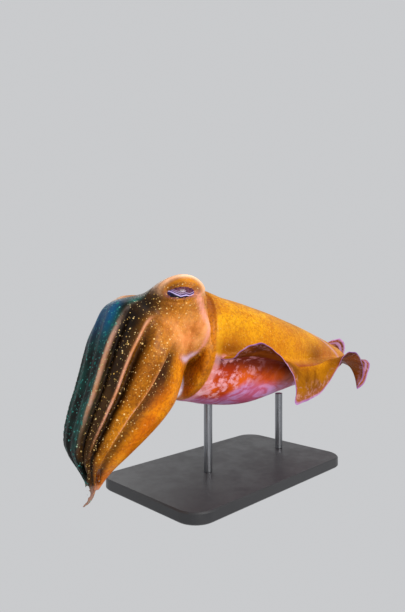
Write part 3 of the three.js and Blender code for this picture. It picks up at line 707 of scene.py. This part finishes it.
        # painted shade: darker ochre in the hollow under the fold that arches over the eye
        brow_hollow_shade = np.maximum(brow_hollow_shade, front * bell(arch, 0.78, 0.13) * above)
        lid_edge = np.maximum(lid_edge, front * bell(ring, 1.0, 0.09) * (0.9 - 0.5 * above))
    masks = {"mantle": mantle, "below_fin": below, "belly_rim": rim, "lip_highlight": lip_highlight, "crease": crease,
             "valley_shade": valley_shade, "funnel": funnel, "neck": neck, "groove_shadow": groove_shadow, "pale_keel_and_highlight": pale_keel_and_highlight,
             "shade_patch": shade_patch, "teal_shade": teal_shade, "blue": blue, "upper_arms_shade": upper_arms_shade, "crown_shade": crown_shade, "broad": broad,
             "cheek": cheek, "cheek_rim": cheek_rim, "crescent": crescent, "inner": inner, "tips": tips,
             "brow": brow, "brow_hollow_shade": brow_hollow_shade, "lid_edge": lid_edge, "head": head,
             "along_body": (x + 120) / 400, "around_body": around / 180}
    for name, values in masks.items():
        keep_mask(skin, name, values)


# Colours, given as the eye sees them

def rgb(red, green, blue):
    def linear(value):
        value /= 255
        return value / 12.92 if value <= 0.04045 else ((value + 0.055) / 1.055) ** 2.4
    return (linear(red), linear(green), linear(blue), 1.0)


class Paint:
    """Short names for the shader nodes of one tree."""

    def __init__(self, tree):
        self.tree = tree

    def node(self, kind, **settings):
        made = self.tree.nodes.new(kind)
        for key, value in settings.items():
            setattr(made, key, value)
        return made

    def feed(self, socket, value):
        if isinstance(value, bpy.types.NodeSocket):
            self.tree.links.new(value, socket)
        else:
            socket.default_value = value

    def mask(self, name):
        return self.node("ShaderNodeAttribute", attribute_name=name).outputs["Fac"]

    def objects(self):
        return self.node("ShaderNodeTexCoord").outputs["Object"]

    def mix(self, factor, a, b, blend="MIX"):
        made = self.node("ShaderNodeMix", data_type="RGBA", blend_type=blend)
        self.feed(made.inputs[0], factor)
        self.feed(made.inputs[6], a)
        self.feed(made.inputs[7], b)
        return made.outputs[2]

    def maths(self, operation, a, b=0.0, clamp=False):
        made = self.node("ShaderNodeMath", operation=operation, use_clamp=clamp)
        self.feed(made.inputs[0], a)
        self.feed(made.inputs[1], b)
        return made.outputs[0]

    def times(self, a, b):
        return self.maths("MULTIPLY", a, b)

    def between(self, value, low, high, out_low=0.0, out_high=1.0):
        made = self.node("ShaderNodeMapRange", interpolation_type="SMOOTHSTEP")
        for socket, number in zip(made.inputs[:5], (value, low, high, out_low, out_high)):
            self.feed(socket, number)
        return made.outputs[0]

    def noise(self, where, scale, detail=4.0, roughness=0.55, distortion=0.0):
        made = self.node("ShaderNodeTexNoise")
        self.feed(made.inputs["Vector"], where)
        made.inputs["Scale"].default_value = scale
        made.inputs["Detail"].default_value = detail
        made.inputs["Roughness"].default_value = roughness
        made.inputs["Distortion"].default_value = distortion
        return made.outputs["Fac"]

    def cells(self, where, scale, feature="F1", randomness=1.0):
        made = self.node("ShaderNodeTexVoronoi", feature=feature)
        self.feed(made.inputs["Vector"], where)
        self.feed(made.inputs["Scale"], scale)
        made.inputs["Randomness"].default_value = randomness
        return made


def node_group(name, inputs, outputs, build):
    """A shader node group that puts out only masks and values."""
    group = bpy.data.node_groups.new(name, "ShaderNodeTree")
    for word, kind, default in inputs:
        socket = group.interface.new_socket(name=word, in_out="INPUT", socket_type=kind)
        if default is not None:
            socket.default_value = default
    for word in outputs:
        group.interface.new_socket(name=word, in_out="OUTPUT", socket_type="NodeSocketFloat")
    paint = Paint(group)
    entry, end = paint.node("NodeGroupInput"), paint.node("NodeGroupOutput")
    for socket, value in zip(end.inputs, build(paint, entry.outputs)):
        paint.feed(socket, value)
    return group


def build_dots(paint, given):
    """Small round dots scattered evenly: their mask, and a value that differs from dot to dot."""
    where, scale, size, share = given[0], given[1], given[2], given[3]
    cells = paint.cells(where, scale)
    parted = paint.node("ShaderNodeSeparateColor")
    paint.feed(parted.inputs[0], cells.outputs["Color"])
    wanted = paint.maths("LESS_THAN", parted.outputs[0], share)
    own_size = paint.times(size, paint.maths("ADD", 0.6, paint.times(parted.outputs[1], 0.8)))
    inner = paint.times(own_size, 0.55)
    fall = paint.node("ShaderNodeMapRange", interpolation_type="SMOOTHSTEP")
    for socket, value in zip(fall.inputs[:5], (cells.outputs["Distance"], inner, own_size, 1.0, 0.0)):
        paint.feed(socket, value)
    return paint.times(fall.outputs[0], wanted), parted.outputs[2]


def build_mottle(paint, given):
    """Cloudy patches with a finer grain of pigment cells over them."""
    where, size = given[0], given[1]
    scaled = paint.node("ShaderNodeVectorMath", operation="SCALE")
    paint.feed(scaled.inputs[0], where)
    paint.feed(scaled.inputs["Scale"], size)
    place_in = scaled.outputs[0]
    cloud = paint.between(paint.noise(place_in, 34, 5, 0.6, 0.4), 0.36, 0.64)
    grain = paint.between(paint.noise(place_in, 420, 3, 0.6), 0.35, 0.68)
    fleck = paint.cells(place_in, 620).outputs["Distance"]
    return cloud, grain, paint.between(fleck, 0.18, 0.5, 1.0, 0.0)


def build_relief(paint, given):
    """Height of moist skin: soft wrinkles, low warts and a fine grain."""
    where = given[0]
    soft = paint.noise(where, 95, 4, 0.6, 0.3)
    warts = paint.between(paint.cells(where, 240).outputs["Distance"], 0.0, 0.55, 1.0, 0.0)
    grain = paint.noise(where, 900, 2, 0.5)
    total = paint.maths("ADD", paint.times(soft, 1.0), paint.times(warts, 0.35))
    return [paint.maths("ADD", total, paint.times(grain, 0.18))]


DOTS = node_group("Skin dots", [("Place", "NodeSocketVector", None), ("Scale", "NodeSocketFloat", 190.0),
                                ("Size", "NodeSocketFloat", 0.2), ("Share", "NodeSocketFloat", 0.5)],
                  ["Mask", "Shade"], build_dots)
MOTTLE = node_group("Skin mottle", [("Place", "NodeSocketVector", None), ("Size", "NodeSocketFloat", 1.0)],
                    ["Cloud", "Grain", "Fleck"], build_mottle)
RELIEF = node_group("Skin relief", [("Place", "NodeSocketVector", None)], ["Height"], build_relief)


def use_group(paint, group, *values):
    made = paint.node("ShaderNodeGroup", node_tree=group)
    for socket, value in zip(made.inputs, values):
        paint.feed(socket, value)
    return made.outputs


def new_material(name, **settings):
    """A material with one shader, whose plain settings sit on the shader's own sockets."""
    material = bpy.data.materials.new(name)
    material.use_nodes = True
    material.node_tree.nodes.clear()
    paint = Paint(material.node_tree)
    shader = paint.node("ShaderNodeBsdfPrincipled")
    end = paint.node("ShaderNodeOutputMaterial")
    paint.feed(end.inputs["Surface"], shader.outputs["BSDF"])
    for word, value in settings.items():
        shader.inputs[word.replace("_", " ")].default_value = value
    return material, paint, shader


def bump(paint, shader, height, strength, distance):
    made = paint.node("ShaderNodeBump")
    made.inputs["Strength"].default_value = strength
    made.inputs["Distance"].default_value = distance
    paint.feed(made.inputs["Height"], height)
    paint.feed(shader.inputs["Normal"], made.outputs["Normal"])


def skin_material():
    material, paint, shader = new_material(
        "Moist mottled skin", Roughness=0.46, IOR=1.3, Specular_IOR_Level=0.2, Coat_Weight=0.05,
        Coat_Roughness=0.2, Subsurface_Weight=0.05, Subsurface_Scale=0.002)
    where = paint.objects()
    cloud, grain, fleck = use_group(paint, MOTTLE, where, 1.0)
    mask, mix, times, between = paint.mask, paint.mix, paint.times, paint.between
    speck = between(grain, 0.0, 0.6, 1.0, 0.0)

    gold = mix(cloud, rgb(226, 160, 6), rgb(194, 120, 3))
    gold = mix(times(fleck, 0.35), gold, rgb(244, 190, 36))
    gold = mix(times(speck, 0.4), gold, rgb(140, 70, 6))
    broad_cloud = between(paint.noise(where, 15, 3, 0.5), 0.46, 0.7)
    gold = mix(times(broad_cloud, 0.7), gold, rgb(146, 82, 6))
    # painted shade: the mantle's gold darkens towards its lower flanks, away from the light above
    low_side_shade = between(mask("around_body"), 0.25, 0.52)
    gold = mix(times(low_side_shade, 0.45), gold, rgb(176, 92, 6))
    # painted highlight along the mantle's margin, broken by mottled darker tone
    gold = mix(times(mask("lip_highlight"), 0.3), gold, mix(cloud, rgb(240, 176, 30), rgb(150, 78, 10)))
    # painted shade: dark brown laid into the mantle's valleys beside the fins
    gold = mix(times(mask("valley_shade"), 0.7), gold, rgb(96, 44, 6))
    gold = mix(times(mask("crease"), 0.55), gold, rgb(206, 156, 170))

    brown = mix(cloud, rgb(196, 120, 10), rgb(140, 78, 6))
    brown = mix(times(fleck, 0.3), brown, rgb(226, 150, 40))
    brown = mix(times(speck, 0.4), brown, rgb(92, 46, 8))
    orange = mix(cloud, rgb(230, 142, 4), rgb(196, 102, 2))
    orange = mix(between(paint.noise(where, 28, 4, 0.6), 0.46, 0.7, 0.0, 0.6), orange, rgb(158, 78, 2))
    orange = mix(times(speck, 0.4), orange, rgb(140, 62, 4))
    flesh = mix(mask("broad"), brown, orange)
    peach = mix(cloud, rgb(236, 160, 98), rgb(214, 126, 62))
    cheek_cloud = between(paint.noise(where, 75, 4, 0.6), 0.36, 0.6, 0.4, 1.0)
    flesh = mix(times(mask("cheek"), cheek_cloud), flesh, peach)
    # painted shade: near-black olive for the shaded top of the head
    crown_shade_colour = mix(cloud, rgb(12, 8, 3), rgb(56, 34, 4))
    flesh = mix(times(mask("crown_shade"), 0.93), flesh, crown_shade_colour)
    # painted shade over the first two pairs of arms
    flesh = mix(times(mask("upper_arms_shade"), 0.88), flesh, mix(cloud, rgb(14, 9, 4), rgb(60, 36, 6)))
    # painted shade: dark blue-green for the shaded dorsal arms and forehead
    teal_shade = mix(between(paint.noise(where, 46, 4), 0.44, 0.66), rgb(0, 16, 13), rgb(0, 68, 60))
    # painted highlight: blue light along the dorsal arms' top contour
    teal_shade = mix(mask("blue"), teal_shade, rgb(0, 80, 124))
    flesh = mix(times(mask("teal_shade"), 0.95), flesh, teal_shade)
    # painted shade in the grooves between the arms
    flesh = mix(times(mask("groove_shadow"), 0.95), flesh, rgb(14, 6, 3))
    # painted shade for the hollow beside the third arm's ridge
    flesh = mix(mask("shade_patch"), flesh, rgb(48, 24, 8))
    # the keel's own pale colour together with a painted highlight on its crest
    ridge = mix(cloud, rgb(240, 182, 164), rgb(228, 150, 96))
    # the keel's pale colour and highlight are dimmed where the painted shade lies
    ridge = mix(times(mask("teal_shade"), 0.5), ridge, rgb(120, 116, 70))
    flesh = mix(times(mask("pale_keel_and_highlight"), 0.85), flesh, ridge)
    flesh = mix(mask("inner"), flesh, rgb(222, 182, 160))
    flesh = mix(times(mask("tips"), 0.45), flesh, rgb(206, 150, 130))
    flesh = mix(times(mask("cheek_rim"), 0.7), flesh, rgb(246, 168, 150))
    flesh = mix(times(mask("crescent"), 0.85), flesh, rgb(224, 190, 214))
    # painted shade in the hollow under the fold over the eye
    flesh = mix(times(mask("brow_hollow_shade"), 0.9), flesh, mix(cloud, rgb(196, 124, 14), rgb(150, 84, 10)))
    flesh = mix(times(mask("brow"), 0.92), flesh, mix(cloud, rgb(252, 208, 176), rgb(232, 170, 124)))
    flesh = mix(times(mask("lid_edge"), 0.85), flesh, rgb(64, 36, 84))
    collar = mix(cloud, rgb(196, 116, 8), rgb(150, 78, 5))
    flesh = mix(mask("neck"), flesh, mix(times(speck, 0.45), collar, rgb(96, 44, 4)))

    blotch = between(paint.noise(where, 125, 5, 0.62, 0.3), 0.47, 0.64)
    belly = mix(cloud, rgb(224, 92, 10), rgb(178, 52, 6))
    # painted shadow: a dark maroon band on the belly just below the fin's root, where the fin shades it
    shadow_under_fin_root = between(mask("around_body"), 0.66, 0.57)
    belly = mix(times(shadow_under_fin_root, 0.85), belly, rgb(96, 22, 14))
    forward = between(mask("along_body"), 0.44, 0.36)
    belly = mix(times(blotch, paint.maths("ADD", 0.06, times(forward, 0.85))), belly, rgb(244, 170, 176))
    streaks = paint.node("ShaderNodeMapping")
    paint.feed(streaks.inputs["Vector"], where)
    streaks.inputs["Scale"].default_value = (1.0, 0.45, 2.2)
    streak = between(paint.noise(streaks.outputs[0], 42, 4, 0.6, 1.2), 0.42, 0.6)
    lilac = mix(streak, rgb(200, 92, 130), rgb(216, 156, 212))
    belly = mix(times(mask("belly_rim"), 0.92), belly, lilac)
    # painted highlight: the margin's rim on the belly side is lightened to pale pink
    belly = mix(times(mask("lip_highlight"), 0.3), belly, rgb(240, 200, 210))
    body = mix(mask("below_fin"), gold, belly)
    colour = mix(mask("mantle"), flesh, body)
    veins = between(paint.noise(where, 120, 3, 0.5, 2.0), 0.47, 0.53)
    pale = mix(times(veins, 0.45), rgb(240, 230, 242), rgb(204, 174, 212))
    colour = mix(mask("funnel"), colour, pale)

    small, shade = use_group(paint, DOTS, where, 300.0, 0.2, 0.6)
    tiny, _ = use_group(paint, DOTS, where, 560.0, 0.27, 0.5)
    spread = paint.maths("MAXIMUM", mask("head"), times(mask("mantle"), 0.22))
    spread = times(spread, paint.maths("SUBTRACT", 1.0, paint.maths("MAXIMUM", mask("inner"), mask("below_fin"))))
    spread = times(spread, paint.maths("SUBTRACT", 1.0, times(mask("broad"), 0.8)))
    quiet = paint.maths("MAXIMUM", times(mask("cheek"), 0.75), paint.maths("MAXIMUM", mask("brow"), mask("neck")))
    spread = times(spread, paint.maths("SUBTRACT", 1.0, quiet))
    dot_colour = mix(shade, rgb(255, 226, 164), rgb(240, 186, 90))
    dot_colour = mix(times(mask("teal_shade"), 0.9), dot_colour, rgb(10, 176, 172))
    colour = mix(times(times(small, spread), 0.8), colour, dot_colour)
    colour = mix(times(times(tiny, spread), 0.5), colour, dot_colour)
    glow, _ = use_group(paint, DOTS, where, 210.0, 0.3, 0.5)
    colour = mix(times(times(glow, mask("teal_shade")), 0.6), colour, rgb(0, 120, 112))
    dark_spot, _ = use_group(paint, DOTS, where, 70.0, 0.13, 0.6)
    colour = mix(times(times(dark_spot, mask("broad")), 0.8), colour, rgb(70, 28, 6))
    paint.feed(shader.inputs["Base Color"], colour)

    height = use_group(paint, RELIEF, where)[0]
    height = paint.maths("ADD", height, times(times(small, spread), 0.5))
    bump(paint, shader, height, 0.5, 0.0008)
    return material


def fin_material():
    material, paint, shader = new_material(
        "Thin fin skin", Roughness=0.55, IOR=1.15, Specular_IOR_Level=0.2)
    where = paint.objects()
    mask, mix, times, between = paint.mask, paint.mix, paint.times, paint.between
    cloud, grain, fleck = use_group(paint, MOTTLE, where, 1.1)
    speck = between(grain, 0.0, 0.6, 1.0, 0.0)
    upper = mix(cloud, rgb(216, 142, 6), rgb(176, 98, 4))
    upper = mix(times(fleck, 0.3), upper, rgb(236, 176, 36))
    upper = mix(times(speck, 0.35), upper, rgb(116, 54, 6))
    # painted shade: the upper face darkens to deep golden brown away from the root, where the fin hangs away from the
    # light above
    hanging_shade = mix(cloud, rgb(146, 86, 6), rgb(94, 52, 4))
    upper = mix(times(between(mask("to_edge"), 0.12, 0.55), 0.8), upper, hanging_shade)
    outer = mix(cloud, rgb(150, 84, 40), rgb(172, 96, 66))
    upper = mix(times(between(mask("to_edge"), 0.7, 0.97), 0.6), upper, outer)
    # painted shade: brown in the fold of the fin's rear wave, near its root
    rear = mix(cloud, rgb(134, 66, 30), rgb(88, 38, 14))
    upper = mix(times(mask("rear"), times(between(mask("to_edge"), 0.1, 0.6), 0.8)), upper, rear)
    # painted shade: the fin's underside is dark brown at the front, where it lies in shadow, and a lighter orange
    # towards the rear
    under = mix(cloud, rgb(96, 38, 2), rgb(146, 70, 6))
    under = mix(times(mask("rear"), 0.8), under, mix(cloud, rgb(206, 124, 4), rgb(150, 74, 10)))
    colour = mix(mask("upper"), under, upper)
    rays = paint.noise(where, 210, 3, 0.6, 0.8)
    ray_reach = times(between(mask("to_edge"), 0.5, 0.9), 0.3)
    colour = mix(times(between(rays, 0.5, 0.66), ray_reach), colour, rgb(226, 170, 176))
    edge = mix(cloud, rgb(156, 96, 176), rgb(200, 156, 208))
    inner_line = times(between(mask("to_edge"), 0.8, 0.84), between(mask("to_edge"), 0.9, 0.86))
    colour = mix(times(inner_line, times(mask("rear"), 0.5)), colour, edge)
    colour = mix(between(mask("to_edge"), 0.93, 0.99, 0.0, 0.85), colour, edge)
    paint.feed(shader.inputs["Base Color"], colour)
    bump(paint, shader, use_group(paint, RELIEF, where)[0], 0.4, 0.0005)
    return material


def eye_material():
    material, paint, shader = new_material(
        "Glossy eye", Roughness=0.22, Specular_IOR_Level=0.2, Coat_Weight=0.16, Coat_Roughness=0.03)
    mask, mix, between = paint.mask, paint.mix, paint.between
    where = paint.objects()
    streaks = paint.noise(where, 700, 3, 0.6)
    violet = mix(between(streaks, 0.4, 0.62), rgb(22, 9, 62), rgb(52, 28, 112))
    # painted reflection: a dull purple-brown glare over the upper middle of the eye
    middle = mix(between(streaks, 0.36, 0.6), rgb(62, 30, 50), rgb(100, 58, 76))
    colour = mix(mask("eye_middle_glare"), violet, middle)
    colour = mix(mask("pupil"), colour, rgb(10, 5, 18))
    colour = mix(mask("white_line"), colour, rgb(206, 190, 238))
    paint.feed(shader.inputs["Base Color"], colour)
    return material


def sucker_material():
    material, paint, shader = new_material("Pale suckers", Roughness=0.35, Coat_Weight=0.3, Coat_Roughness=0.2,
                                           Subsurface_Weight=0.2, Subsurface_Scale=0.003)
    tone = paint.between(paint.noise(paint.objects(), 160, 3), 0.35, 0.65)
    paint.feed(shader.inputs["Base Color"], paint.mix(tone, rgb(222, 190, 172), rgb(196, 152, 136)))
    return material


def stand_materials():
    plate, paint, shader = new_material("Satin black paint", Coat_Weight=0.15, Coat_Roughness=0.3)
    where = paint.objects()
    tone = paint.noise(where, 55, 5, 0.6)
    paint.feed(shader.inputs["Base Color"], paint.mix(tone, rgb(30, 30, 32), rgb(42, 42, 45)))
    paint.feed(shader.inputs["Roughness"], paint.between(tone, 0.3, 0.7, 0.34, 0.5))
    bump(paint, shader, paint.noise(where, 1500, 2), 0.12, 0.0003)

    steel, paint, shader = new_material("Brushed steel", Metallic=1.0)
    stretch = paint.node("ShaderNodeMapping")
    paint.feed(stretch.inputs["Vector"], paint.objects())
    stretch.inputs["Scale"].default_value = (1.0, 1.0, 0.03)
    lines = paint.noise(stretch.outputs[0], 2600, 3)
    paint.feed(shader.inputs["Base Color"], paint.mix(lines, rgb(122, 124, 128), rgb(158, 160, 165)))
    paint.feed(shader.inputs["Roughness"], paint.between(lines, 0.3, 0.7, 0.24, 0.42))
    bump(paint, shader, lines, 0.15, 0.0002)
    return plate, steel


# Pieces

def make_fin(word):
    fin = shaped_ball(f"fin_{word}", 72, 360, fin_form(word, 3.2, 0.8))
    face_outwards(fin)
    smooth(fin)
    return fin


def paint_fin(fin, word):
    """Masks from the ball's own rings: share of the way to the edge, and which face."""
    points = coordinates(fin) / MM - COLLAR
    shares = np.linspace(0.0005, 0.9995, 700)
    sheet = np.stack([fin_sheet(word, shares, np.full(700, u)) for u in np.linspace(0, 1, 25)])
    flat = sheet.reshape(-1, 3)
    best = np.zeros(len(points), int)
    for start in range(0, len(points), 1500):
        part = points[start:start + 1500]
        apart = (part ** 2).sum(1)[:, None] + (flat ** 2).sum(1)[None] - 2 * part @ flat.T
        best[start:start + 1500] = apart.argmin(1)
    u = (best // 700) / 24
    share = shares[best % 700]
    ways = fin_sheet(word, np.minimum(1, share + 0.01), u) - fin_sheet(word, np.maximum(0, share - 0.01), u)
    across = fin_sheet(word, share, np.minimum(1, u + 0.04)) - fin_sheet(word, share, np.maximum(0, u - 0.04))
    way = np.cross(across, ways) if word == "left" else np.cross(ways, across)
    upper = np.einsum("ij,ij->i", normals(fin), way) > 0
    keep_mask(fin, "to_edge", u)
    keep_mask(fin, "upper", upper.astype(float))
    keep_mask(fin, "rear", step(0.62, 0.92, share))


def make_eye(word):
    side = SIDES[word]
    middle, ways = eye_frame(side)
    deselect()
    bpy.ops.mesh.primitive_uv_sphere_add(segments=128, ring_count=96, radius=1)
    eye = bpy.context.object
    eye.name = f"eye_{word}_ball"
    local = coordinates(eye) * EYE_HALF
    x, y = local[:, 0], local[:, 1]
    front = local[:, 2] > 0
    line = np.interp(x, [-14, -10.4, -6, -2.4, 2, 5.6, 11.6, 14], [3.0, 1.6, -1.8, -3.6, -3.0, -3.7, -1.4, 0.4])
    lines = np.maximum(step(0.55, 0.2, np.abs(y - line)), 0.6 * step(0.4, 0.12, np.abs(y - line - 1.7)))
    lines = np.maximum(lines, 0.4 * step(0.4, 0.12, np.abs(y - line - 3.1)) * (x < 2))
    keep_mask(eye, "white_line", front * lines * step(12.6, 11.2, np.abs(x)))
    # painted reflection: where the glare lies over the upper middle of the eye
    keep_mask(eye, "eye_middle_glare", front * step(0.2, 1.6, y - line) * step(11.5, 6.5, np.abs(x)))
    keep_mask(eye, "pupil", front * step(0, -1.2, y - line) * step(12, 9, np.abs(x)))
    move_vertices(eye, place(middle + local @ ways))
    face_outwards(eye)
    smooth(eye)
    return eye


def make_cup():
    """One sucker, a short cup reshaped from a ball, a unit in radius, opening along Z."""
    deselect()
    bpy.ops.mesh.primitive_uv_sphere_add(segments=10, ring_count=7, radius=1)
    cup = bpy.context.object
    spots = coordinates(cup)
    ring = np.rint(np.arccos(np.clip(spots[:, 2], -1, 1)) / np.pi * 7).astype(int)
    turn = np.arctan2(spots[:, 1], spots[:, 0])
    size = np.array([0.0, 0.55, 0.72, 0.98, 1.0, 0.8, 0.7, 0.0])[ring]
    height = np.array([0.35, 0.55, 0.95, 0.85, 0.55, 0.1, -0.9, -0.9])[ring]
    move_vertices(cup, np.column_stack([size * np.cos(turn), size * np.sin(turn), height]))
    return cup


def make_suckers():
    """Two rows of cups down the inner face of each arm, out to its tip, joined as one piece."""
    cup = make_cup()
    shape = coordinates(cup)
    cups = []
    for side in SIDES.values():
        for index in range(4):
            end = ARM_ENDS[index]
            for row in range(SUCKER_ROWS):
                t = np.array([4.7 + (end - 1.7 - 4.7) * ((row + 0.5) / SUCKER_ROWS) ** 0.9])
                first, last = arm_borders(t)[0, index:index + 2]
                middle_angle, spread = (first + last) / 2, (last - first) / 2
                keep, curl = (values[0] for values in arm_keep(index, t))
                axis = crown_point(t, -side * middle_angle, (1 + ARM_INNER) / 2)
                drop = curl * np.array(ARM_CURLS[index]) * [1, -1, 1]
                for way in (-0.5, 0.5):
                    foot = crown_point(t, -side * (middle_angle + spread * way), ARM_INNER)
                    foot = (axis + (foot - axis) * keep)[0] + drop
                    inward = crown_point(t, -side * (middle_angle + spread * way), 0.05)[0] + drop - foot
                    inward /= np.linalg.norm(inward) + 1e-9
                    arm_width = float(crown(t)[2][0]) * ARM_INNER * math.radians(spread)
                    radius = min(2.0, 0.36 * arm_width * float(keep))
                    across = np.cross(inward, [0.3, 0.9, 0.2])
                    across /= np.linalg.norm(across)
                    copy = cup.copy()
                    copy.data = cup.data.copy()
                    bpy.context.scene.collection.objects.link(copy)
                    turned = shape @ np.array([across, np.cross(inward, across), inward])
                    move_vertices(copy, place(foot + radius * turned))
                    cups.append(copy)
    bpy.data.objects.remove(cup)
    suckers = join(cups, "suckers")
    face_outwards(suckers)
    smooth(suckers)
    return suckers


def give(piece, material):
    piece.data.materials.clear()
    piece.data.materials.append(material)
    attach(piece, "root")


skin = make_skin()
settle_eyes(skin)
face_outwards(skin)
smooth(skin)
paint_masks(skin)
give(skin, skin_material())
arm_nodes = [f"arm_{word}_{k}_{part}" for word in SIDES for k in (1, 2, 3, 4) for part in ("base", "tip")]
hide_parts("mantle", "neck", "head", "funnel", *arm_nodes)

fin_skin = fin_material()
for word in SIDES:
    fin = make_fin(word)
    paint_fin(fin, word)
    give(fin, fin_skin)
    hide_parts(f"fin_{word}_front", f"fin_{word}_rear")

eye_gloss = eye_material()
for word in SIDES:
    eye = make_eye(word)
    give(eye, eye_gloss)
    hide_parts(f"eye_{word}")

give(make_suckers(), sucker_material())

plate_paint, rod_steel = stand_materials()
stand = (("stand_base", plate_paint), ("stand_rod_front", rod_steel), ("stand_rod_rear", rod_steel))
for node, material in stand:
    thing = frame["nodes"][node]
    thing.data.materials.clear()
    thing.data.materials.append(material)


# Studio: round floor, soft lights and the camera

def make_floor():
    """A round floor whose rim bends up into a wall all the way round."""
    flat_radius, bend_radius, wall = 2.2, 0.8, 0.9
    length = flat_radius + bend_radius * math.pi / 2 + wall
    deselect()
    bpy.ops.mesh.primitive_uv_sphere_add(segments=96, ring_count=64, radius=1)
    floor = bpy.context.object
    floor.name = "floor"
    spots = coordinates(floor)
    turn = np.arctan2(spots[:, 1], spots[:, 0])
    fall = np.arccos(np.clip(spots[:, 2], -1, 1)) / np.pi
    run = fall * length * 64 / 63
    angle = np.clip((run - flat_radius) / bend_radius, 0, math.pi / 2)
    reach = np.where(run < flat_radius, run, flat_radius + bend_radius * np.sin(angle))
    height = bend_radius * (1 - np.cos(angle)) + np.maximum(0, run - length + wall)
    move_vertices(floor, np.column_stack([reach * np.cos(turn), reach * np.sin(turn), height]))
    floor.data.vertices.foreach_set("select", fall > 0.999)
    bpy.ops.object.mode_set(mode="EDIT")
    bpy.ops.mesh.delete(type="VERT")
    bpy.ops.mesh.select_all(action="SELECT")
    bpy.ops.mesh.flip_normals()
    bpy.ops.object.mode_set(mode="OBJECT")
    smooth(floor)
    material, paint, shader = new_material("Pale floor", Roughness=0.85)
    tone = paint.noise(paint.objects(), 3, 3)
    paint.feed(shader.inputs["Base Color"], paint.mix(tone, rgb(232, 232, 233), rgb(237, 237, 238)))
    floor.data.materials.append(material)


def add_light(name, azimuth, elevation, distance, size, power, colour):
    target = Vector((0.0, 0.0, 0.12))
    a, e = math.radians(azimuth), math.radians(elevation)
    way = Vector((math.sin(a) * math.cos(e), -math.cos(a) * math.cos(e), math.sin(e)))
    lamp = bpy.data.lights.new(name, "AREA")
    lamp.shape = "DISK"
    lamp.size = size
    lamp.energy = power
    lamp.color = colour
    holder = bpy.data.objects.new(name, lamp)
    holder.location = target + way * distance
    holder.rotation_euler = (-way).to_track_quat("-Z", "Y").to_euler()
    bpy.context.scene.collection.objects.link(holder)


make_floor()
add_light("key_light", -6, 30, 1.5, 0.7, 17, (1.0, 0.97, 0.93))
add_light("low_light", -30, 3, 1.6, 0.9, 4, (1.0, 0.97, 0.95))
add_light("fill_light", -110, 24, 1.7, 1.2, 2, (0.9, 0.95, 1.0))
add_light("top_light", 60, 72, 1.6, 1.2, 6, (1.0, 1.0, 1.0))
add_light("back_light", 165, 30, 1.8, 0.8, 5, (1.0, 0.98, 0.96))

world = bpy.data.worlds.new("studio")
world.use_nodes = True
world.node_tree.nodes["Background"].inputs["Color"].default_value = (0.84, 0.85, 0.87, 1)
world.node_tree.nodes["Background"].inputs["Strength"].default_value = 0.7
bpy.context.scene.world = world
bpy.context.scene.view_settings.view_transform = "Standard"

azimuth = math.radians(CAMERA_AZIMUTH)
ahead = np.array([-math.sin(azimuth), math.cos(azimuth), 0])
to_right = np.array([ahead[1], -ahead[0], 0])
eye_point = place(-CAMERA_FROM_COLLAR * ahead + CAMERA_TO_RIGHT * to_right + [0, 0, CAMERA_HEIGHT])
camera_data = bpy.data.cameras.new("camera")
camera_data.sensor_width = SENSOR
camera_data.lens = FOCAL_PIXELS * SENSOR / PHOTO_HEIGHT
camera_data.clip_start = 0.01
camera = bpy.data.objects.new("camera", camera_data)
camera.location = eye_point
camera.rotation_euler = Vector(ahead).to_track_quat("-Z", "Y").to_euler()
bpy.context.scene.collection.objects.link(camera)
bpy.context.scene.camera = camera
